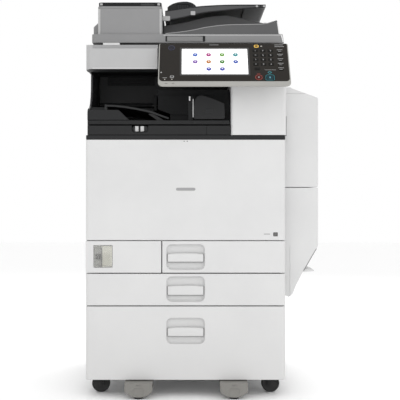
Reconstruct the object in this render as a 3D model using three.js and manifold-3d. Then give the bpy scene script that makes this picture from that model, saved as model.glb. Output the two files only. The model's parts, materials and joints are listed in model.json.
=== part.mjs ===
// A floor-standing colour photocopier: print engine with a front door, three paper drawers on a caster
// base, an inner finisher, a flat-bed scanner with a document feeder as its lid, a tilted operation
// panel, and a duplex door with a folded bypass tray on the right.
// Millimetres. +X is to the operator's right, -Y is towards the operator, +Z is up.
// Everything is drawn with X = 0 on the middle of the body, Y = 0 on the front face and Z = 0 on the
// floor. At the end the whole group is moved so that its origin is the bottom centre of its box.

import * as THREE from 'three';
import { mergeVertices } from 'three/addons/utils/BufferGeometryUtils.js';
import Module from 'manifold-3d';

const wasm = await Module();
wasm.setup();

// ---------------------------------------------------------------- driving dimensions

const bodyHalf = 293.5;            // half the body's width
const bodyBack = 588;              // from the front face to the rear cover
const gap = 0.3;                   // air between pieces that touch
const seam = 3;                    // visible joint between two front covers
const frontThick = 18;             // thickness of doors and drawer fronts
const sideFront = 20;              // front edge of the side covers
const drawerBottom = 50;           // lower edge of the lowest drawer front
const lowerSeam = 267;             // joint between the large drawer and drawer 2
const middleSeam = 363;            // joint between drawers 2 and 1
const doorBottom = 459;            // joint between drawer 1 and the front door
const doorTop = 756;
const deckTop = 769;               // top of the dark deck over the engine
const scannerBottom = 962;
const scannerTop = 1036;
const outputCeiling = 990;         // the scanner's underside over the output space
const lidBottom = 1046;            // underside of the document feeder's base
const lidTop = 1071;
const frameInside = 277;           // inner faces of the steel side frames
const frameFront = 22;
const frameBack = 576;
const leftCoverEdge = -70;         // joint between the left front cover and drawer 1
const linerBack = 330;             // back wall of the output space
const leftUpperFront = 338;        // where the left cover starts to reach up to the scanner
const rightUpperFront = 232;       // and the right one, behind the white column
const pillarLeft = 133;            // inner face of the white column at the right front
const unitFront = 62;              // front of the units on the machine's right side
const unitBack = 520;
const unitInside = 298;
const unitOutside = 398;

// ---------------------------------------------------------------- materials

const finish = (color, roughness, metalness = 0) =>
  new THREE.MeshStandardMaterial({ color, roughness, metalness });

const white = finish(0xdedfdf, 0.45);
const darkGrey = finish(0x35363a, 0.55);
const midGrey = finish(0x6a6b6d, 0.5);
const silver = finish(0xa9aaab, 0.4, 0.2);
const steel = finish(0x9da1a3, 0.4, 0.8);
const panelBlack = finish(0x23211e, 0.25);
const rubberBlack = finish(0x161616, 0.8);
const warmGrey = finish(0x827f76, 0.5);
const clear = finish(0xbcb9a4, 0.2);
const screenWhite = finish(0xf4f6fa, 0.15);

// ---------------------------------------------------------------- shape helpers

const model = new THREE.Group();

function solid(geometry) {
  const bare = geometry.clone();
  bare.deleteAttribute('normal');
  bare.deleteAttribute('uv');
  const merged = mergeVertices(bare, 1e-4);
  return new wasm.Manifold(new wasm.Mesh({
    numProp: 3,
    vertProperties: new Float32Array(merged.attributes.position.array),
    triVerts: new Uint32Array(merged.index.array),
  }));
}

function geometryOf(body) {
  const mesh = body.getMesh();
  const geometry = new THREE.BufferGeometry();
  geometry.setAttribute('position', new THREE.BufferAttribute(mesh.vertProperties, 3));
  geometry.setIndex(new THREE.BufferAttribute(mesh.triVerts, 1));
  geometry.computeVertexNormals();
  return geometry;
}

function part(name, body, material, parent = model) {
  const mesh = new THREE.Mesh(geometryOf(body), material);
  mesh.name = name;
  parent.add(mesh);
  return mesh;
}

function outline(points) {
  return new THREE.Shape(points.map(([a, b]) => new THREE.Vector2(a, b)));
}

function extrude(shape, length, curveSegments = 5) {
  return new THREE.ExtrudeGeometry(shape, { depth: length, bevelEnabled: false, curveSegments });
}

// A prism along Z whose section is drawn in X and Y.
function prismZ(shape, z0, z1) {
  return solid(extrude(shape, z1 - z0).translate(0, 0, z0));
}

// A prism along Y whose section is drawn in X and Z.
function prismY(shape, y0, y1) {
  return solid(extrude(shape, y1 - y0).rotateX(Math.PI / 2).translate(0, y1, 0));
}

// A prism along X whose section is drawn in Y and Z.
function prismX(shape, x0, x1) {
  const turn = new THREE.Matrix4().makeBasis(
    new THREE.Vector3(0, 1, 0), new THREE.Vector3(0, 0, 1), new THREE.Vector3(1, 0, 0));
  return solid(extrude(shape, x1 - x0).applyMatrix4(turn).translate(x0, 0, 0));
}

function block(x0, x1, y0, y1, z0, z1) {
  const box = new THREE.BoxGeometry(x1 - x0, y1 - y0, z1 - z0);
  return solid(box.translate((x0 + x1) / 2, (y0 + y1) / 2, (z0 + z1) / 2));
}

// A rectangle whose four corners have the radii given from the lower left round counter-clockwise.
function roundedRectangle(a0, a1, b0, b1, radii) {
  const [r0, r1, r2, r3] = Array.isArray(radii) ? radii : [radii, radii, radii, radii];
  const shape = new THREE.Shape();
  shape.moveTo(a0 + r0, b0);
  shape.lineTo(a1 - r1, b0);
  if (r1 > 0) shape.absarc(a1 - r1, b0 + r1, r1, -Math.PI / 2, 0);
  shape.lineTo(a1, b1 - r2);
  if (r2 > 0) shape.absarc(a1 - r2, b1 - r2, r2, 0, Math.PI / 2);
  shape.lineTo(a0 + r3, b1);
  if (r3 > 0) shape.absarc(a0 + r3, b1 - r3, r3, Math.PI / 2, Math.PI);
  shape.lineTo(a0, b0 + r0);
  if (r0 > 0) shape.absarc(a0 + r0, b0 + r0, r0, Math.PI, Math.PI * 1.5);
  return shape;
}

function cylinderY(radius, x, z, y0, y1, sides = 24) {
  const turned = new THREE.CylinderGeometry(radius, radius, y1 - y0, sides).rotateY(Math.PI / sides);
  return solid(turned.translate(x, (y0 + y1) / 2, z));
}

function cylinderX(radius, y, z, x0, x1, sides = 24) {
  const turned = new THREE.CylinderGeometry(radius, radius, x1 - x0, sides).rotateY(Math.PI / sides);
  return solid(turned.rotateZ(Math.PI / 2).translate((x0 + x1) / 2, y, z));
}

function cylinderZ(radius, x, y, z0, z1, sides = 24) {
  const upright = new THREE.CylinderGeometry(radius, radius, z1 - z0, sides).rotateX(Math.PI / 2);
  return solid(upright.translate(x, y, (z0 + z1) / 2));
}

// ---------------------------------------------------------------- frame and outer covers

function addFrame() {
  part('base_plate', block(-284, 284, frameFront, frameBack, 66, 78), steel);
  part('left_frame', block(-285, -frameInside, frameFront, frameBack, 78 + gap, doorTop - gap), steel);
  part('right_frame', block(frameInside, 285, frameFront, frameBack, 78 + gap, doorTop - gap), steel);
  const shelfHalf = frameInside - gap;
  part('lower_shelf', block(-shelfHalf, shelfHalf, 30, frameBack - 6, 262, 268), steel);
  part('engine_deck', block(-shelfHalf, shelfHalf, 30, frameBack - 6, 455, 464), steel);
  const deck = prismZ(roundedRectangle(-bodyHalf, bodyHalf, 4, bodyBack - 9, [8, 8, 0, 0]),
    doorTop + gap, deckTop);
  const leftNotch = block(-bodyHalf - 1, -285, leftUpperFront - gap, bodyBack, doorTop, deckTop + 1);
  const rightNotch = block(285, bodyHalf + 1, rightUpperFront - gap, bodyBack, doorTop, deckTop + 1);
  part('top_deck', deck.subtract(leftNotch).subtract(rightNotch), darkGrey);
}

// Side and rear covers stand outside the steel frame, and reach up to the scanner behind the output
// space. The rear cover has an opening for the inlet.
function addOuterCovers() {
  const sideBack = bodyBack - 9;
  const side = (upperFront) => outline([[sideFront, 56], [sideBack, 56], [sideBack, scannerBottom - gap],
    [upperFront, scannerBottom - gap], [upperFront, doorTop - gap], [sideFront, doorTop - gap]]);
  part('left_cover', prismX(side(leftUpperFront), -bodyHalf, -285 - gap), white);
  part('right_cover', prismX(side(rightUpperFront), 285 + gap, bodyHalf), white);

  const inlet = { x: -220, z: 120, halfWidth: 16, halfHeight: 12 };
  const around = gap + 0.2;
  const rear = prismY(roundedRectangle(-bodyHalf, bodyHalf, 56, scannerBottom - gap, 6), bodyBack - 8, bodyBack);
  const hole = block(inlet.x - inlet.halfWidth - around, inlet.x + inlet.halfWidth + around,
    bodyBack - 20, bodyBack + 20,
    inlet.z - inlet.halfHeight - around, inlet.z + inlet.halfHeight + around);
  part('rear_cover', rear.subtract(hole), white);

  const shell = block(inlet.x - inlet.halfWidth, inlet.x + inlet.halfWidth, bodyBack - 9, bodyBack,
    inlet.z - inlet.halfHeight, inlet.z + inlet.halfHeight);
  const socket = block(inlet.x - inlet.halfWidth + 3, inlet.x + inlet.halfWidth - 3, bodyBack - 7,
    bodyBack + 5, inlet.z - inlet.halfHeight + 3, inlet.z + inlet.halfHeight - 3);
  part('power_inlet', shell.subtract(socket), rubberBlack);
}

// The narrow front cover to the left of drawer 1, with the deep window of the main switch. A clear
// flap hinged on its lower edge closes the window.
const rockerPivot = { y: 9.2, z: 411 };
const switchWindow = { left: -270, right: -215, bottom: 380, top: 445, depth: 16 };

function addLeftFrontCover() {
  const cover = prismY(roundedRectangle(-bodyHalf, leftCoverEdge - seam / 2, middleSeam + seam / 2,
    doorBottom - seam / 2, 1.5), 0, sideFront - gap);
  const { left, right, bottom, top, depth } = switchWindow;
  const pocket = block(left, right, -1, depth, bottom, top);
  part('left_front_cover', cover.subtract(pocket), white);
  part('switch_cover', prismY(roundedRectangle(left + 0.5, right - 0.5, bottom + 0.5, top - 0.5, 2), 0.6, 3), clear);
  const rocker = new THREE.Shape();
  rocker.moveTo(7, 411);
  rocker.lineTo(5, 403.5);
  rocker.absarc(rockerPivot.y, rockerPivot.z, 6.5, -Math.PI / 2, Math.PI / 2);
  rocker.lineTo(4.5, 418.5);
  part('power_switch', prismX(rocker, left + 5, left + 19), rubberBlack);
}

// ---------------------------------------------------------------- caster base

// A swivel caster whose wheel trails outwards, to the machine's nearer side.
function addCaster(name, x, y) {
  const radius = 27;
  const halfWheel = 11;
  const trail = 14;
  const axle = 4;
  const outward = Math.sign(x);
  const wheelX = x + outward * trail;
  const plate = cylinderZ(22, x, y, 60, 66 - gap);
  const stem = cylinderZ(11, x, y, 55, 62);
  const hoodEnds = [x - outward * 12, wheelX + outward * 9];
  const hood = block(Math.min(...hoodEnds), Math.max(...hoodEnds), y - 16, y + 16, 55.5, 60.5);
  const leg = (y0, y1) => prismY(outline([[wheelX - 8, 20], [wheelX + 8, 20], [wheelX + 9, 58],
    [wheelX - 9, 58]]), y0, y1);
  const pin = cylinderY(axle, wheelX, radius, y - 15.5, y + 15.5, 12);
  const fork = plate.add(stem).add(hood).add(leg(y - 16, y - 12.5)).add(leg(y + 12.5, y + 16)).add(pin);
  part(`${name}_fork`, fork, rubberBlack);

  const sides = 24;
  const tyreRadius = radius / Math.cos(Math.PI / sides);
  const tyre = cylinderY(tyreRadius, wheelX, radius, y - halfWheel, y + halfWheel, sides);
  const bore = cylinderY(axle + gap, wheelX, radius, y - 30, y + 30, 12);
  part(`${name}_wheel`, tyre.subtract(bore), rubberBlack);
}

// A foot block that stops the machine from tipping when a loaded drawer is out.
function addStabiliser(name, x) {
  const half = 40;
  const profile = outline([[x - half + 16, 6], [x + half - 16, 6], [x + half - 4, 16], [x + half, 28],
    [x + half, 47], [x - half, 47], [x - half, 28], [x - half + 4, 16]]);
  const bracket = prismY(profile, -36, 60);
  const neck = block(x - 24, x + 24, 26, 60, 46, 66 - gap);
  const foot = cylinderZ(13, x, -20, 0, 7);
  part(name, bracket.add(neck).add(foot), warmGrey);
}

function addBase() {
  const casterX = 241;
  const casterFront = 74;
  const casterRear = 530;
  addCaster('caster_front_left', -casterX, casterFront);
  addCaster('caster_front_right', casterX, casterFront);
  addCaster('caster_rear_left', -casterX, casterRear);
  addCaster('caster_rear_right', casterX, casterRear);
  addStabiliser('stabiliser_left', -137);
  addStabiliser('stabiliser_right', 141);
}

// ---------------------------------------------------------------- front door and drawers

function addFrontDoor() {
  const door = prismZ(roundedRectangle(-bodyHalf, bodyHalf, 0, frontThick, [10, 10, 0, 0]),
    doorBottom + seam / 2, doorTop - 1);
  const hollow = prismY(roundedRectangle(-bodyHalf + 5, bodyHalf - 5, doorBottom + 7, doorTop - 7, 6), 4, 30);
  const rib = (x) => block(x - 2.5, x + 2.5, 3.5, frontThick, doorBottom + 6, doorTop - 6);
  part('front_door', door.subtract(hollow).add(rib(-117.5)).add(rib(117.5)), white);
}

// A drawer front with a rounded recess and a grip bar across the middle of it.
function drawerFront(left, right, bottom, top, handle) {
  const cornerLeft = left < -200 ? 10 : 1;
  const front = prismZ(roundedRectangle(left, right, 0, frontThick, [cornerLeft, 10, 0, 0]), bottom, top);
  const handleHalf = 55.5;
  const recess = prismY(roundedRectangle(-handleHalf, handleHalf, handle.bottom, handle.top, 14), -1, 14);
  const bar = prismX(roundedRectangle(1.5, 7.5, handle.barBottom, handle.barTop, 2.5), -handleHalf - 2, handleHalf + 2);
  return front.subtract(recess).add(bar);
}

function drawerPan(left, right, back, bottom, top, divider) {
  const wall = 4;
  const pan = prismZ(roundedRectangle(left, right, frontThick + gap, back, 6), bottom, top);
  const hollow = (x0, x1) => prismZ(roundedRectangle(x0, x1, frontThick + 8, back - wall, 4), bottom + wall, top + 5);
  if (!divider) return pan.subtract(hollow(left + wall, right - wall));
  return pan.subtract(hollow(left + wall, divider - wall / 2)).subtract(hollow(divider + wall / 2, right - wall));
}

function addDrawers() {
  const half = seam / 2;
  part('drawer_1_front', drawerFront(leftCoverEdge + half, bodyHalf, middleSeam + half, doorBottom - half,
    { bottom: 374, top: 447, barBottom: 396.5, barTop: 422 }), white);
  part('drawer_1_pan', drawerPan(leftCoverEdge + 8, 262, 500, middleSeam + 12, doorBottom - 16), darkGrey);
  part('drawer_2_front', drawerFront(-bodyHalf, bodyHalf, lowerSeam + half, middleSeam - half,
    { bottom: 280, top: 352.5, barBottom: 299, barTop: 327 }), white);
  part('drawer_2_pan', drawerPan(-262, 262, 500, lowerSeam + 8, middleSeam - 4), darkGrey);
  part('drawer_3_front', drawerFront(-bodyHalf, bodyHalf, drawerBottom, lowerSeam - half,
    { bottom: 156, top: 230.5, barBottom: 178, barTop: 204 }), white);
  part('drawer_3_pan', drawerPan(-262, 262, 520, 84, 256, 20), darkGrey);
}

// ---------------------------------------------------------------- print engine inside the front door

function addEngine() {
  const tonerColours = { black: 0x222222, cyan: 0x1f8fc4, magenta: 0xc22a7c, yellow: 0xe3c41f };
  Object.entries(tonerColours).forEach(([colour, hex], index) => {
    const x = -205 + index * 88;
    const z = 700;
    const bottle = cylinderY(34, x, z, 60, 400, 20);
    const cap = cylinderY(24, x, z, 44, 62, 16);
    const grip = block(x - 20, x + 20, 36, 46, z - 4, z + 4);
    part(`toner_bottle_${colour}`, bottle.add(cap).add(grip), finish(hex, 0.4));
  });
  const belt = prismY(roundedRectangle(-262, 150, 566, 640, 30), 40, 440);
  const beltGrip = prismX(roundedRectangle(28, 42, 596, 610, 4), -90, -30);
  part('transfer_unit', belt.add(beltGrip), darkGrey);
  const fuser = prismY(roundedRectangle(180, 268, 596, 728, 14), 40, 470);
  const fuserGrip = prismX(roundedRectangle(28, 42, 654, 668, 4), 200, 248);
  part('fusing_unit', fuser.add(fuserGrip), midGrey);
}

// ---------------------------------------------------------------- output space and inner finisher

// The dark liner of the output space: a back wall, and a left wall whose front edge leans back.
function addOutputSpace() {
  const back = block(-bodyHalf + 2, pillarLeft - gap, linerBack, linerBack + 6, deckTop + gap, scannerBottom - gap);
  const backTop = block(-bodyHalf + 8, pillarLeft - gap, linerBack, linerBack + 6, deckTop + 20, outputCeiling - gap);
  const sideOutline = outline([[30, deckTop + gap], [linerBack + 3, deckTop + gap],
    [linerBack + 3, scannerBottom - gap], [122, scannerBottom - gap], [118, 916], [110, 892],
    [96, 872], [74, 858], [44, 851], [30, 846]]);
  const side = prismX(sideOutline, -bodyHalf + 2, -bodyHalf + 8);
  part('output_liner', back.add(backTop).add(side), darkGrey);
}

// The finisher's tray falls from the left towards the stapler; a skirt closes its left end at the
// front, and a sill runs under both.
function addFinisher() {
  const trayTop = [[-280, 858], [-236, 860], [-170, 852], [-112, 839], [-86, 829], [-50, 820]];
  const trayFoot = 813.5;
  const trayShape = outline([[-50, trayFoot], [-280, trayFoot], ...trayTop]);
  const tray = prismY(trayShape, 26, linerBack - 3);
  const hollow = prismY(outline([[-92, 800], [-232, 800], [-232, 853], [-170, 845], [-112, 832], [-92, 824]]),
    10, linerBack - 12);
  const skirt = prismY(outline([[-289, trayFoot], [-166, trayFoot], [-196, 842], [-214, 846], [-282, 846],
    [-289, 840]]), 4, 26.5);
  part('output_tray', tray.subtract(hollow).add(skirt), midGrey);

  const bodyTop = scannerBottom - 56;
  const upper = block(-84, pillarLeft - 3, 30, linerBack - 3, 832, bodyTop);
  const feedSlot = block(-90, -20, 40, linerBack - 20, 838, 868);
  const lower = block(-46, pillarLeft - 3, 20, linerBack - 3, 799, 833);
  const sill = block(-289, pillarLeft - 3, 5, 28, 799, 813);
  part('finisher_body', upper.subtract(feedSlot).add(lower).add(sill), darkGrey);

  const dome = new THREE.Shape();
  dome.moveTo(24, 816);
  dome.lineTo(116, 816);
  dome.lineTo(114, 862);
  dome.quadraticCurveTo(74, 880, 46, 887);
  dome.quadraticCurveTo(26, 884, 24, 858);
  part('stapler_cover', prismY(dome, 2, 20 - gap), midGrey);

  const cover = prismZ(roundedRectangle(-289, pillarLeft - 2, 2, 12, [6, 2, 0, 0]), deckTop + 1, 797);
  const grip = prismY(roundedRectangle(-158, -110, 777, 805, [6, 6, 0, 0]), -5, 20);
  part('finisher_cover', cover.subtract(grip), darkGrey);
}

// The white column at the right front carries the scanner and the operation panel. Two ears on its
// top edge hold the panel's hinge.
const panelHinge = { y: 22, z: 976 };

function addPillar() {
  const column = prismZ(roundedRectangle(pillarLeft, 296, 0, 230, [10, 10, 4, 4]), deckTop + gap, scannerBottom - gap);
  const ear = (x) => prismX(outline([[10, 955], [36, 955], [34, 978], [28, 985], [16, 985], [10, 978]]), x, x + 10);
  part('front_pillar', column.add(ear(158)).add(ear(262)), white);
}

// ---------------------------------------------------------------- scanner

const scannerFront = 62;

function addScanner() {
  const housing = prismY(roundedRectangle(-bodyHalf, bodyHalf, scannerBottom, scannerTop, 5), scannerFront, bodyBack);
  const recessBack = linerBack + 6 + gap;
  const ceiling = block(-bodyHalf + 8 - gap, pillarLeft, scannerFront - 1, recessBack, scannerBottom - 1, outputCeiling);
  const cavity = block(-262, 262, scannerFront + 24, bodyBack - 30, outputCeiling + 6, scannerTop - 6)
    .add(block(-262, 262, recessBack + 10, bodyBack - 30, scannerBottom + 12, scannerTop - 6));
  const ledge = { x0: -240, x1: 200, y0: 118, y1: 424 };
  const window = block(ledge.x0 + 6, ledge.x1 - 6, ledge.y0 + 6, ledge.y1 - 6, scannerTop - 20, scannerTop + 5);
  const seat = block(ledge.x0, ledge.x1, ledge.y0, ledge.y1, scannerTop - 4, scannerTop + 5);
  part('scanner_housing', housing.subtract(ceiling).subtract(cavity).subtract(window).subtract(seat), darkGrey);
  part('platen_glass', block(ledge.x0 + gap, ledge.x1 - gap, ledge.y0 + gap, ledge.y1 - gap,
    scannerTop - 4 + gap, scannerTop), clear);

  const coverShape = outline([[scannerFront - gap, scannerBottom], [scannerFront - gap, scannerTop],
    [12, scannerTop], [3, scannerTop - 9], [0, scannerTop - 16], [0, scannerBottom + 4], [4, scannerBottom]]);
  const cover = prismX(coverShape, -bodyHalf, -82);
  const plan = prismZ(roundedRectangle(-bodyHalf, -82, 0, scannerFront - gap, [22, 4, 0, 0]),
    scannerBottom - 1, scannerTop + 1);
  part('scanner_front_cover', cover.intersect(plan), silver);
}

// ---------------------------------------------------------------- document feeder

// The feeder's base is the scanner's lid. Its right half rises as the exit tray, with a fence that
// carries the original tray's slope on both sides.
function addFeeder() {
  const feederLeft = -262;
  const feederRight = -70;
  const slab = prismZ(roundedRectangle(-279, 291, 32, 572, [8, 8, 4, 4]), lidBottom, lidTop)
    .intersect(prismY(outline([[-279, lidBottom], [291, lidBottom], [279, lidTop], [-279, lidTop]]), 30, 575));
  const exitLine = [[-60, 1076], [-28, 1077], [20, 1084], [64, 1093], [120, 1100.5], [230, 1102],
    [262, 1113], [272, 1111], [278, lidTop - 1]];
  const exitTray = prismY(outline([[-60, lidTop - 1], ...exitLine]), 35, 560);
  const fenceLine = outline([[-60, lidTop], [244, lidTop + 20], [244, 1123], [124, 1144], [60, 1137],
    [0, 1122], [-60, 1112]]);
  const fences = prismY(fenceLine, 112, 120).add(prismY(fenceLine, 450, 458));
  const lid = slab.add(exitTray).add(fences);
  const documentPad = block(-232, 202, 116, 426, scannerTop + 1.5, lidBottom + 1);
  part('feeder_base', lid.add(documentPad), silver);

  const shell = prismY(roundedRectangle(feederLeft, feederRight, lidTop + gap, 1156, [0, 0, 8, 8]), 40, 500);
  const hingeBulge = prismY(outline([[feederLeft + 1, lidTop + gap], [feederLeft + 1, 1114],
    [-278, 1100], [-278, lidTop + gap]]), 70, 480);
  const throat = block(-230, feederRight + 5, 100, 470, 1082, 1147);
  part('feeder_body', shell.add(hingeBulge).subtract(throat), silver);
  part('feed_cover', prismY(roundedRectangle(feederLeft + 2, feederRight - 2, 1156 + gap, 1168,
    [0, 0, 6, 6]), 44, 496), darkGrey);

  const trayOutline = outline([[-62, 1118], [-10, 1127], [52, 1142], [123, 1149], [182, 1154.5],
    [241, 1157], [241, 1166], [120, 1166], [30, 1160], [-30, 1152], [-62, 1147]]);
  const tray = prismY(trayOutline, 66, 474);
  const under = prismY(outline([[-50, 1100], [-50, 1143], [-30, 1146], [30, 1154], [120, 1160],
    [182, 1160], [182, 1140], [123, 1100]]), 76, 464);
  part('original_tray', tray.subtract(under), darkGrey);

  const guide = (name, y) => {
    const hump = new THREE.Shape();
    hump.moveTo(-56, 1149);
    hump.lineTo(-30, 1153);
    hump.lineTo(31, 1161);
    hump.lineTo(31, 1174);
    hump.quadraticCurveTo(20, 1186, -8, 1187);
    hump.quadraticCurveTo(-42, 1186, -56, 1170);
    part(name, prismY(hump, y - 5, y + 5), darkGrey);
  };
  guide('guide_front', 122);
  guide('guide_back', 418);
}

// ---------------------------------------------------------------- operation panel

// The panel is drawn flat: X to the right, Y up its face, Z out of its face, with its origin in the
// middle of the face. Then it leans back.
const panel = { left: -78, right: 300, bottomY: -97, bottomZ: 902, topY: 0, topZ: 1038, thick: 34 };

function addPanel() {
  const group = new THREE.Group();
  const rise = panel.topZ - panel.bottomZ;
  const run = panel.topY - panel.bottomY;
  const halfHeight = Math.hypot(rise, run) / 2;
  const halfWidth = (panel.right - panel.left) / 2;
  group.position.set((panel.left + panel.right) / 2, (panel.topY + panel.bottomY) / 2,
    (panel.topZ + panel.bottomZ) / 2);
  group.rotation.x = Math.atan2(rise, run);
  model.add(group);

  const faceShape = roundedRectangle(-halfWidth, halfWidth, -halfHeight, halfHeight, [14, 14, 6, 6]);
  const rim = 5;
  const undercut = outline([[-halfHeight, 0], [-halfHeight, -rim], [-halfHeight + 34, -panel.thick],
    [halfHeight - 12, -panel.thick], [halfHeight, -14], [halfHeight, 0]]);
  const body = prismZ(faceShape, -panel.thick, 0).intersect(prismX(undercut, -halfWidth, halfWidth));
  const screen = { left: -122, right: 69, bottom: -40, top: 62 };
  const screenPocket = block(screen.left, screen.right, screen.bottom, screen.top, -3, 5);
  const keys = { left: 82, right: 174, bottom: -28, top: 62 };
  const keyPocket = block(keys.left, keys.right, keys.bottom, keys.top, -4, 5);
  const startPlace = { x: 130, y: -53 };
  const stopPlace = { x: 98, y: -52 };
  const homePlace = { x: -152, y: 65 };
  const well = (place, radius) => cylinderZ(radius + 0.4, place.x, place.y, -6, 5, 20);
  const hingeLocal = new THREE.Vector3(0, panelHinge.y, panelHinge.z);
  group.updateMatrixWorld();
  group.worldToLocal(hingeLocal);
  const knuckle = cylinderX(8, hingeLocal.y, hingeLocal.z, 60, 140, 16)
    .add(block(62, 138, hingeLocal.y - 8, hingeLocal.y + 8, hingeLocal.z, -panel.thick + 1));
  const housing = body.subtract(screenPocket).subtract(keyPocket)
    .subtract(well(startPlace, 11)).subtract(well(stopPlace, 8.5)).subtract(well(homePlace, 8)).add(knuckle);
  part('panel_housing', housing, panelBlack, group);

  part('touch_screen', block(screen.left + gap, screen.right - gap, screen.bottom + gap, screen.top - gap,
    -3 + gap, -0.3), screenWhite, group);

  let pad = block(keys.left + gap, keys.right - gap, keys.bottom + gap, keys.top - gap, -2.4, -1.4);
  const keyCap = (x, y, halfX, halfY) => block(x - halfX, x + halfX, y - halfY, y + halfY, -2, 1);
  const rowPitch = 18;
  const columnPitch = 22;
  for (let row = 0; row < 4; row += 1) {
    for (let column = 0; column < 3; column += 1) {
      pad = pad.add(keyCap(92 + column * columnPitch, 53 - row * rowPitch, 7, 5));
    }
  }
  pad = pad.add(keyCap(95, 53 - 4 * rowPitch, 7, 5));
  for (let row = 0; row < 5; row += 1) pad = pad.add(keyCap(163, 50 - row * rowPitch, 6, 4));
  part('keypad', pad, midGrey, group);

  const button = (name, place, radius, material) =>
    part(name, cylinderZ(radius, place.x, place.y, -4.5, 1.2, 20), material, group);
  button('start_button', startPlace, 11, finish(0x2fa79a, 0.3));
  button('stop_button', stopPlace, 8.5, finish(0xc23a2a, 0.3));
  button('home_button', homePlace, 8, midGrey);
}

// ---------------------------------------------------------------- right side

function addRightSide() {
  const duplexOutline = outline([[unitInside, 617], [unitOutside, 617], [unitOutside, 882], [376, 895],
    [313, 923], [unitInside, 923]]);
  const duplex = prismY(duplexOutline, unitFront, unitBack);
  const inner = prismY(outline([[unitInside - 5, 626], [374, 626], [374, 882], [312, 910],
    [unitInside - 5, 910]]), unitFront + 8, unitBack - 8);
  const cage = block(310, 330, unitFront + 4, unitBack - 4, 640, 890);
  const trayOutside = unitOutside - 2;
  const trayInside = 386;
  const trayPocket = block(trayInside, unitOutside + 5, 104, 478, 644, 874);
  part('duplex_door', duplex.subtract(inner).add(cage).subtract(trayPocket), white);
  const tray = prismY(roundedRectangle(trayInside + 3, trayOutside, 648, 870, 3), 108, 474);
  part('bypass_tray', tray, white);

  const lowerOutline = outline([[unitInside, 292], [308, 287], [322, 296], [332, 322], [352, 362],
    [unitOutside, 441], [unitOutside, 615], [unitInside, 615]]);
  const lower = prismY(lowerOutline, unitFront, unitBack);
  const hollow = prismY(outline([[unitInside - 5, 310], [314, 310], [344, 368], [388, 444], [388, 605],
    [unitInside - 5, 605]]), unitFront + 6, unitBack - 6);
  part('right_lower_door', lower.subtract(hollow), white);
}

// ---------------------------------------------------------------- assembly

addFrame();
addOuterCovers();
addLeftFrontCover();
addBase();
addFrontDoor();
addDrawers();
addEngine();
addOutputSpace();
addFinisher();
addPillar();
addScanner();
addFeeder();
addPanel();
addRightSide();

// The origin is the bottom centre of the whole object's box.
const group = new THREE.Group();
group.add(model);
group.updateMatrixWorld(true);
const bounds = new THREE.Box3().setFromObject(model, true);
const centre = bounds.getCenter(new THREE.Vector3());
model.position.set(-centre.x, -centre.y, -bounds.min.z);
group.updateMatrixWorld(true);

export default group;
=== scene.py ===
"""The photocopier's looks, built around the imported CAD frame. Metres, +X right, -Y to the front, +Z up."""
import json
import math

import bmesh
import bpy
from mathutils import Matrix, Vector


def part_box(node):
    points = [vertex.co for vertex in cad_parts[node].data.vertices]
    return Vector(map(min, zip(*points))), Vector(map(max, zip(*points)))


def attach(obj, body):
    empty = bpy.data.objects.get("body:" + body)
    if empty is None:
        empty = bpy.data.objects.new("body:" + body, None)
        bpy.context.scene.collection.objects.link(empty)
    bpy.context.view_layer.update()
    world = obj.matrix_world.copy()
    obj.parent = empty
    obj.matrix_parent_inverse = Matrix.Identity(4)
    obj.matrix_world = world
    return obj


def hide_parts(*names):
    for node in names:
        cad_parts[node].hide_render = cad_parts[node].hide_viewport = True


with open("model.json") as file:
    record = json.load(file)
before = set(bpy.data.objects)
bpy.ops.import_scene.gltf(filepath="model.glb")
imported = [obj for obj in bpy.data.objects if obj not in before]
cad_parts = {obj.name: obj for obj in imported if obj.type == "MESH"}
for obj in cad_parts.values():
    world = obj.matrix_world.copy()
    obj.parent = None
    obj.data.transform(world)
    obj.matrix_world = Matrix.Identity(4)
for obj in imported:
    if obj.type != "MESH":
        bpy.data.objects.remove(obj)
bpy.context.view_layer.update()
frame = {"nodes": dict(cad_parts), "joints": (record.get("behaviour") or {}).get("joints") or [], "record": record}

# ---------------------------------------------------------------- places, all from the frame

MM = 0.001
DOOR_LOW, DOOR_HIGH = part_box("front_door")
MIDDLE = (DOOR_LOW.x + DOOR_HIGH.x) / 2      # middle of the body
FRONT = DOOR_LOW.y                           # plane of the front covers
HALF = (DOOR_HIGH.x - DOOR_LOW.x) / 2        # half the body's width
NODE_BODY = {node: body for body, nodes in frame["record"]["behaviour"]["bodies"].items() for node in nodes}


def spot(x, y, z):
    """A point in metres from millimetres: right of the body's middle, behind its front, above the floor."""
    return Vector((MIDDLE + x * MM, FRONT + y * MM, z * MM))


def local_box(node):
    """A node's box in the millimetres that spot() takes: x0, x1, y0, y1, z0, z1."""
    low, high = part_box(node)
    return ((low.x - MIDDLE) / MM, (high.x - MIDDLE) / MM, (low.y - FRONT) / MM, (high.y - FRONT) / MM,
            low.z / MM, high.z / MM)


# ---------------------------------------------------------------- material helpers

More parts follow.
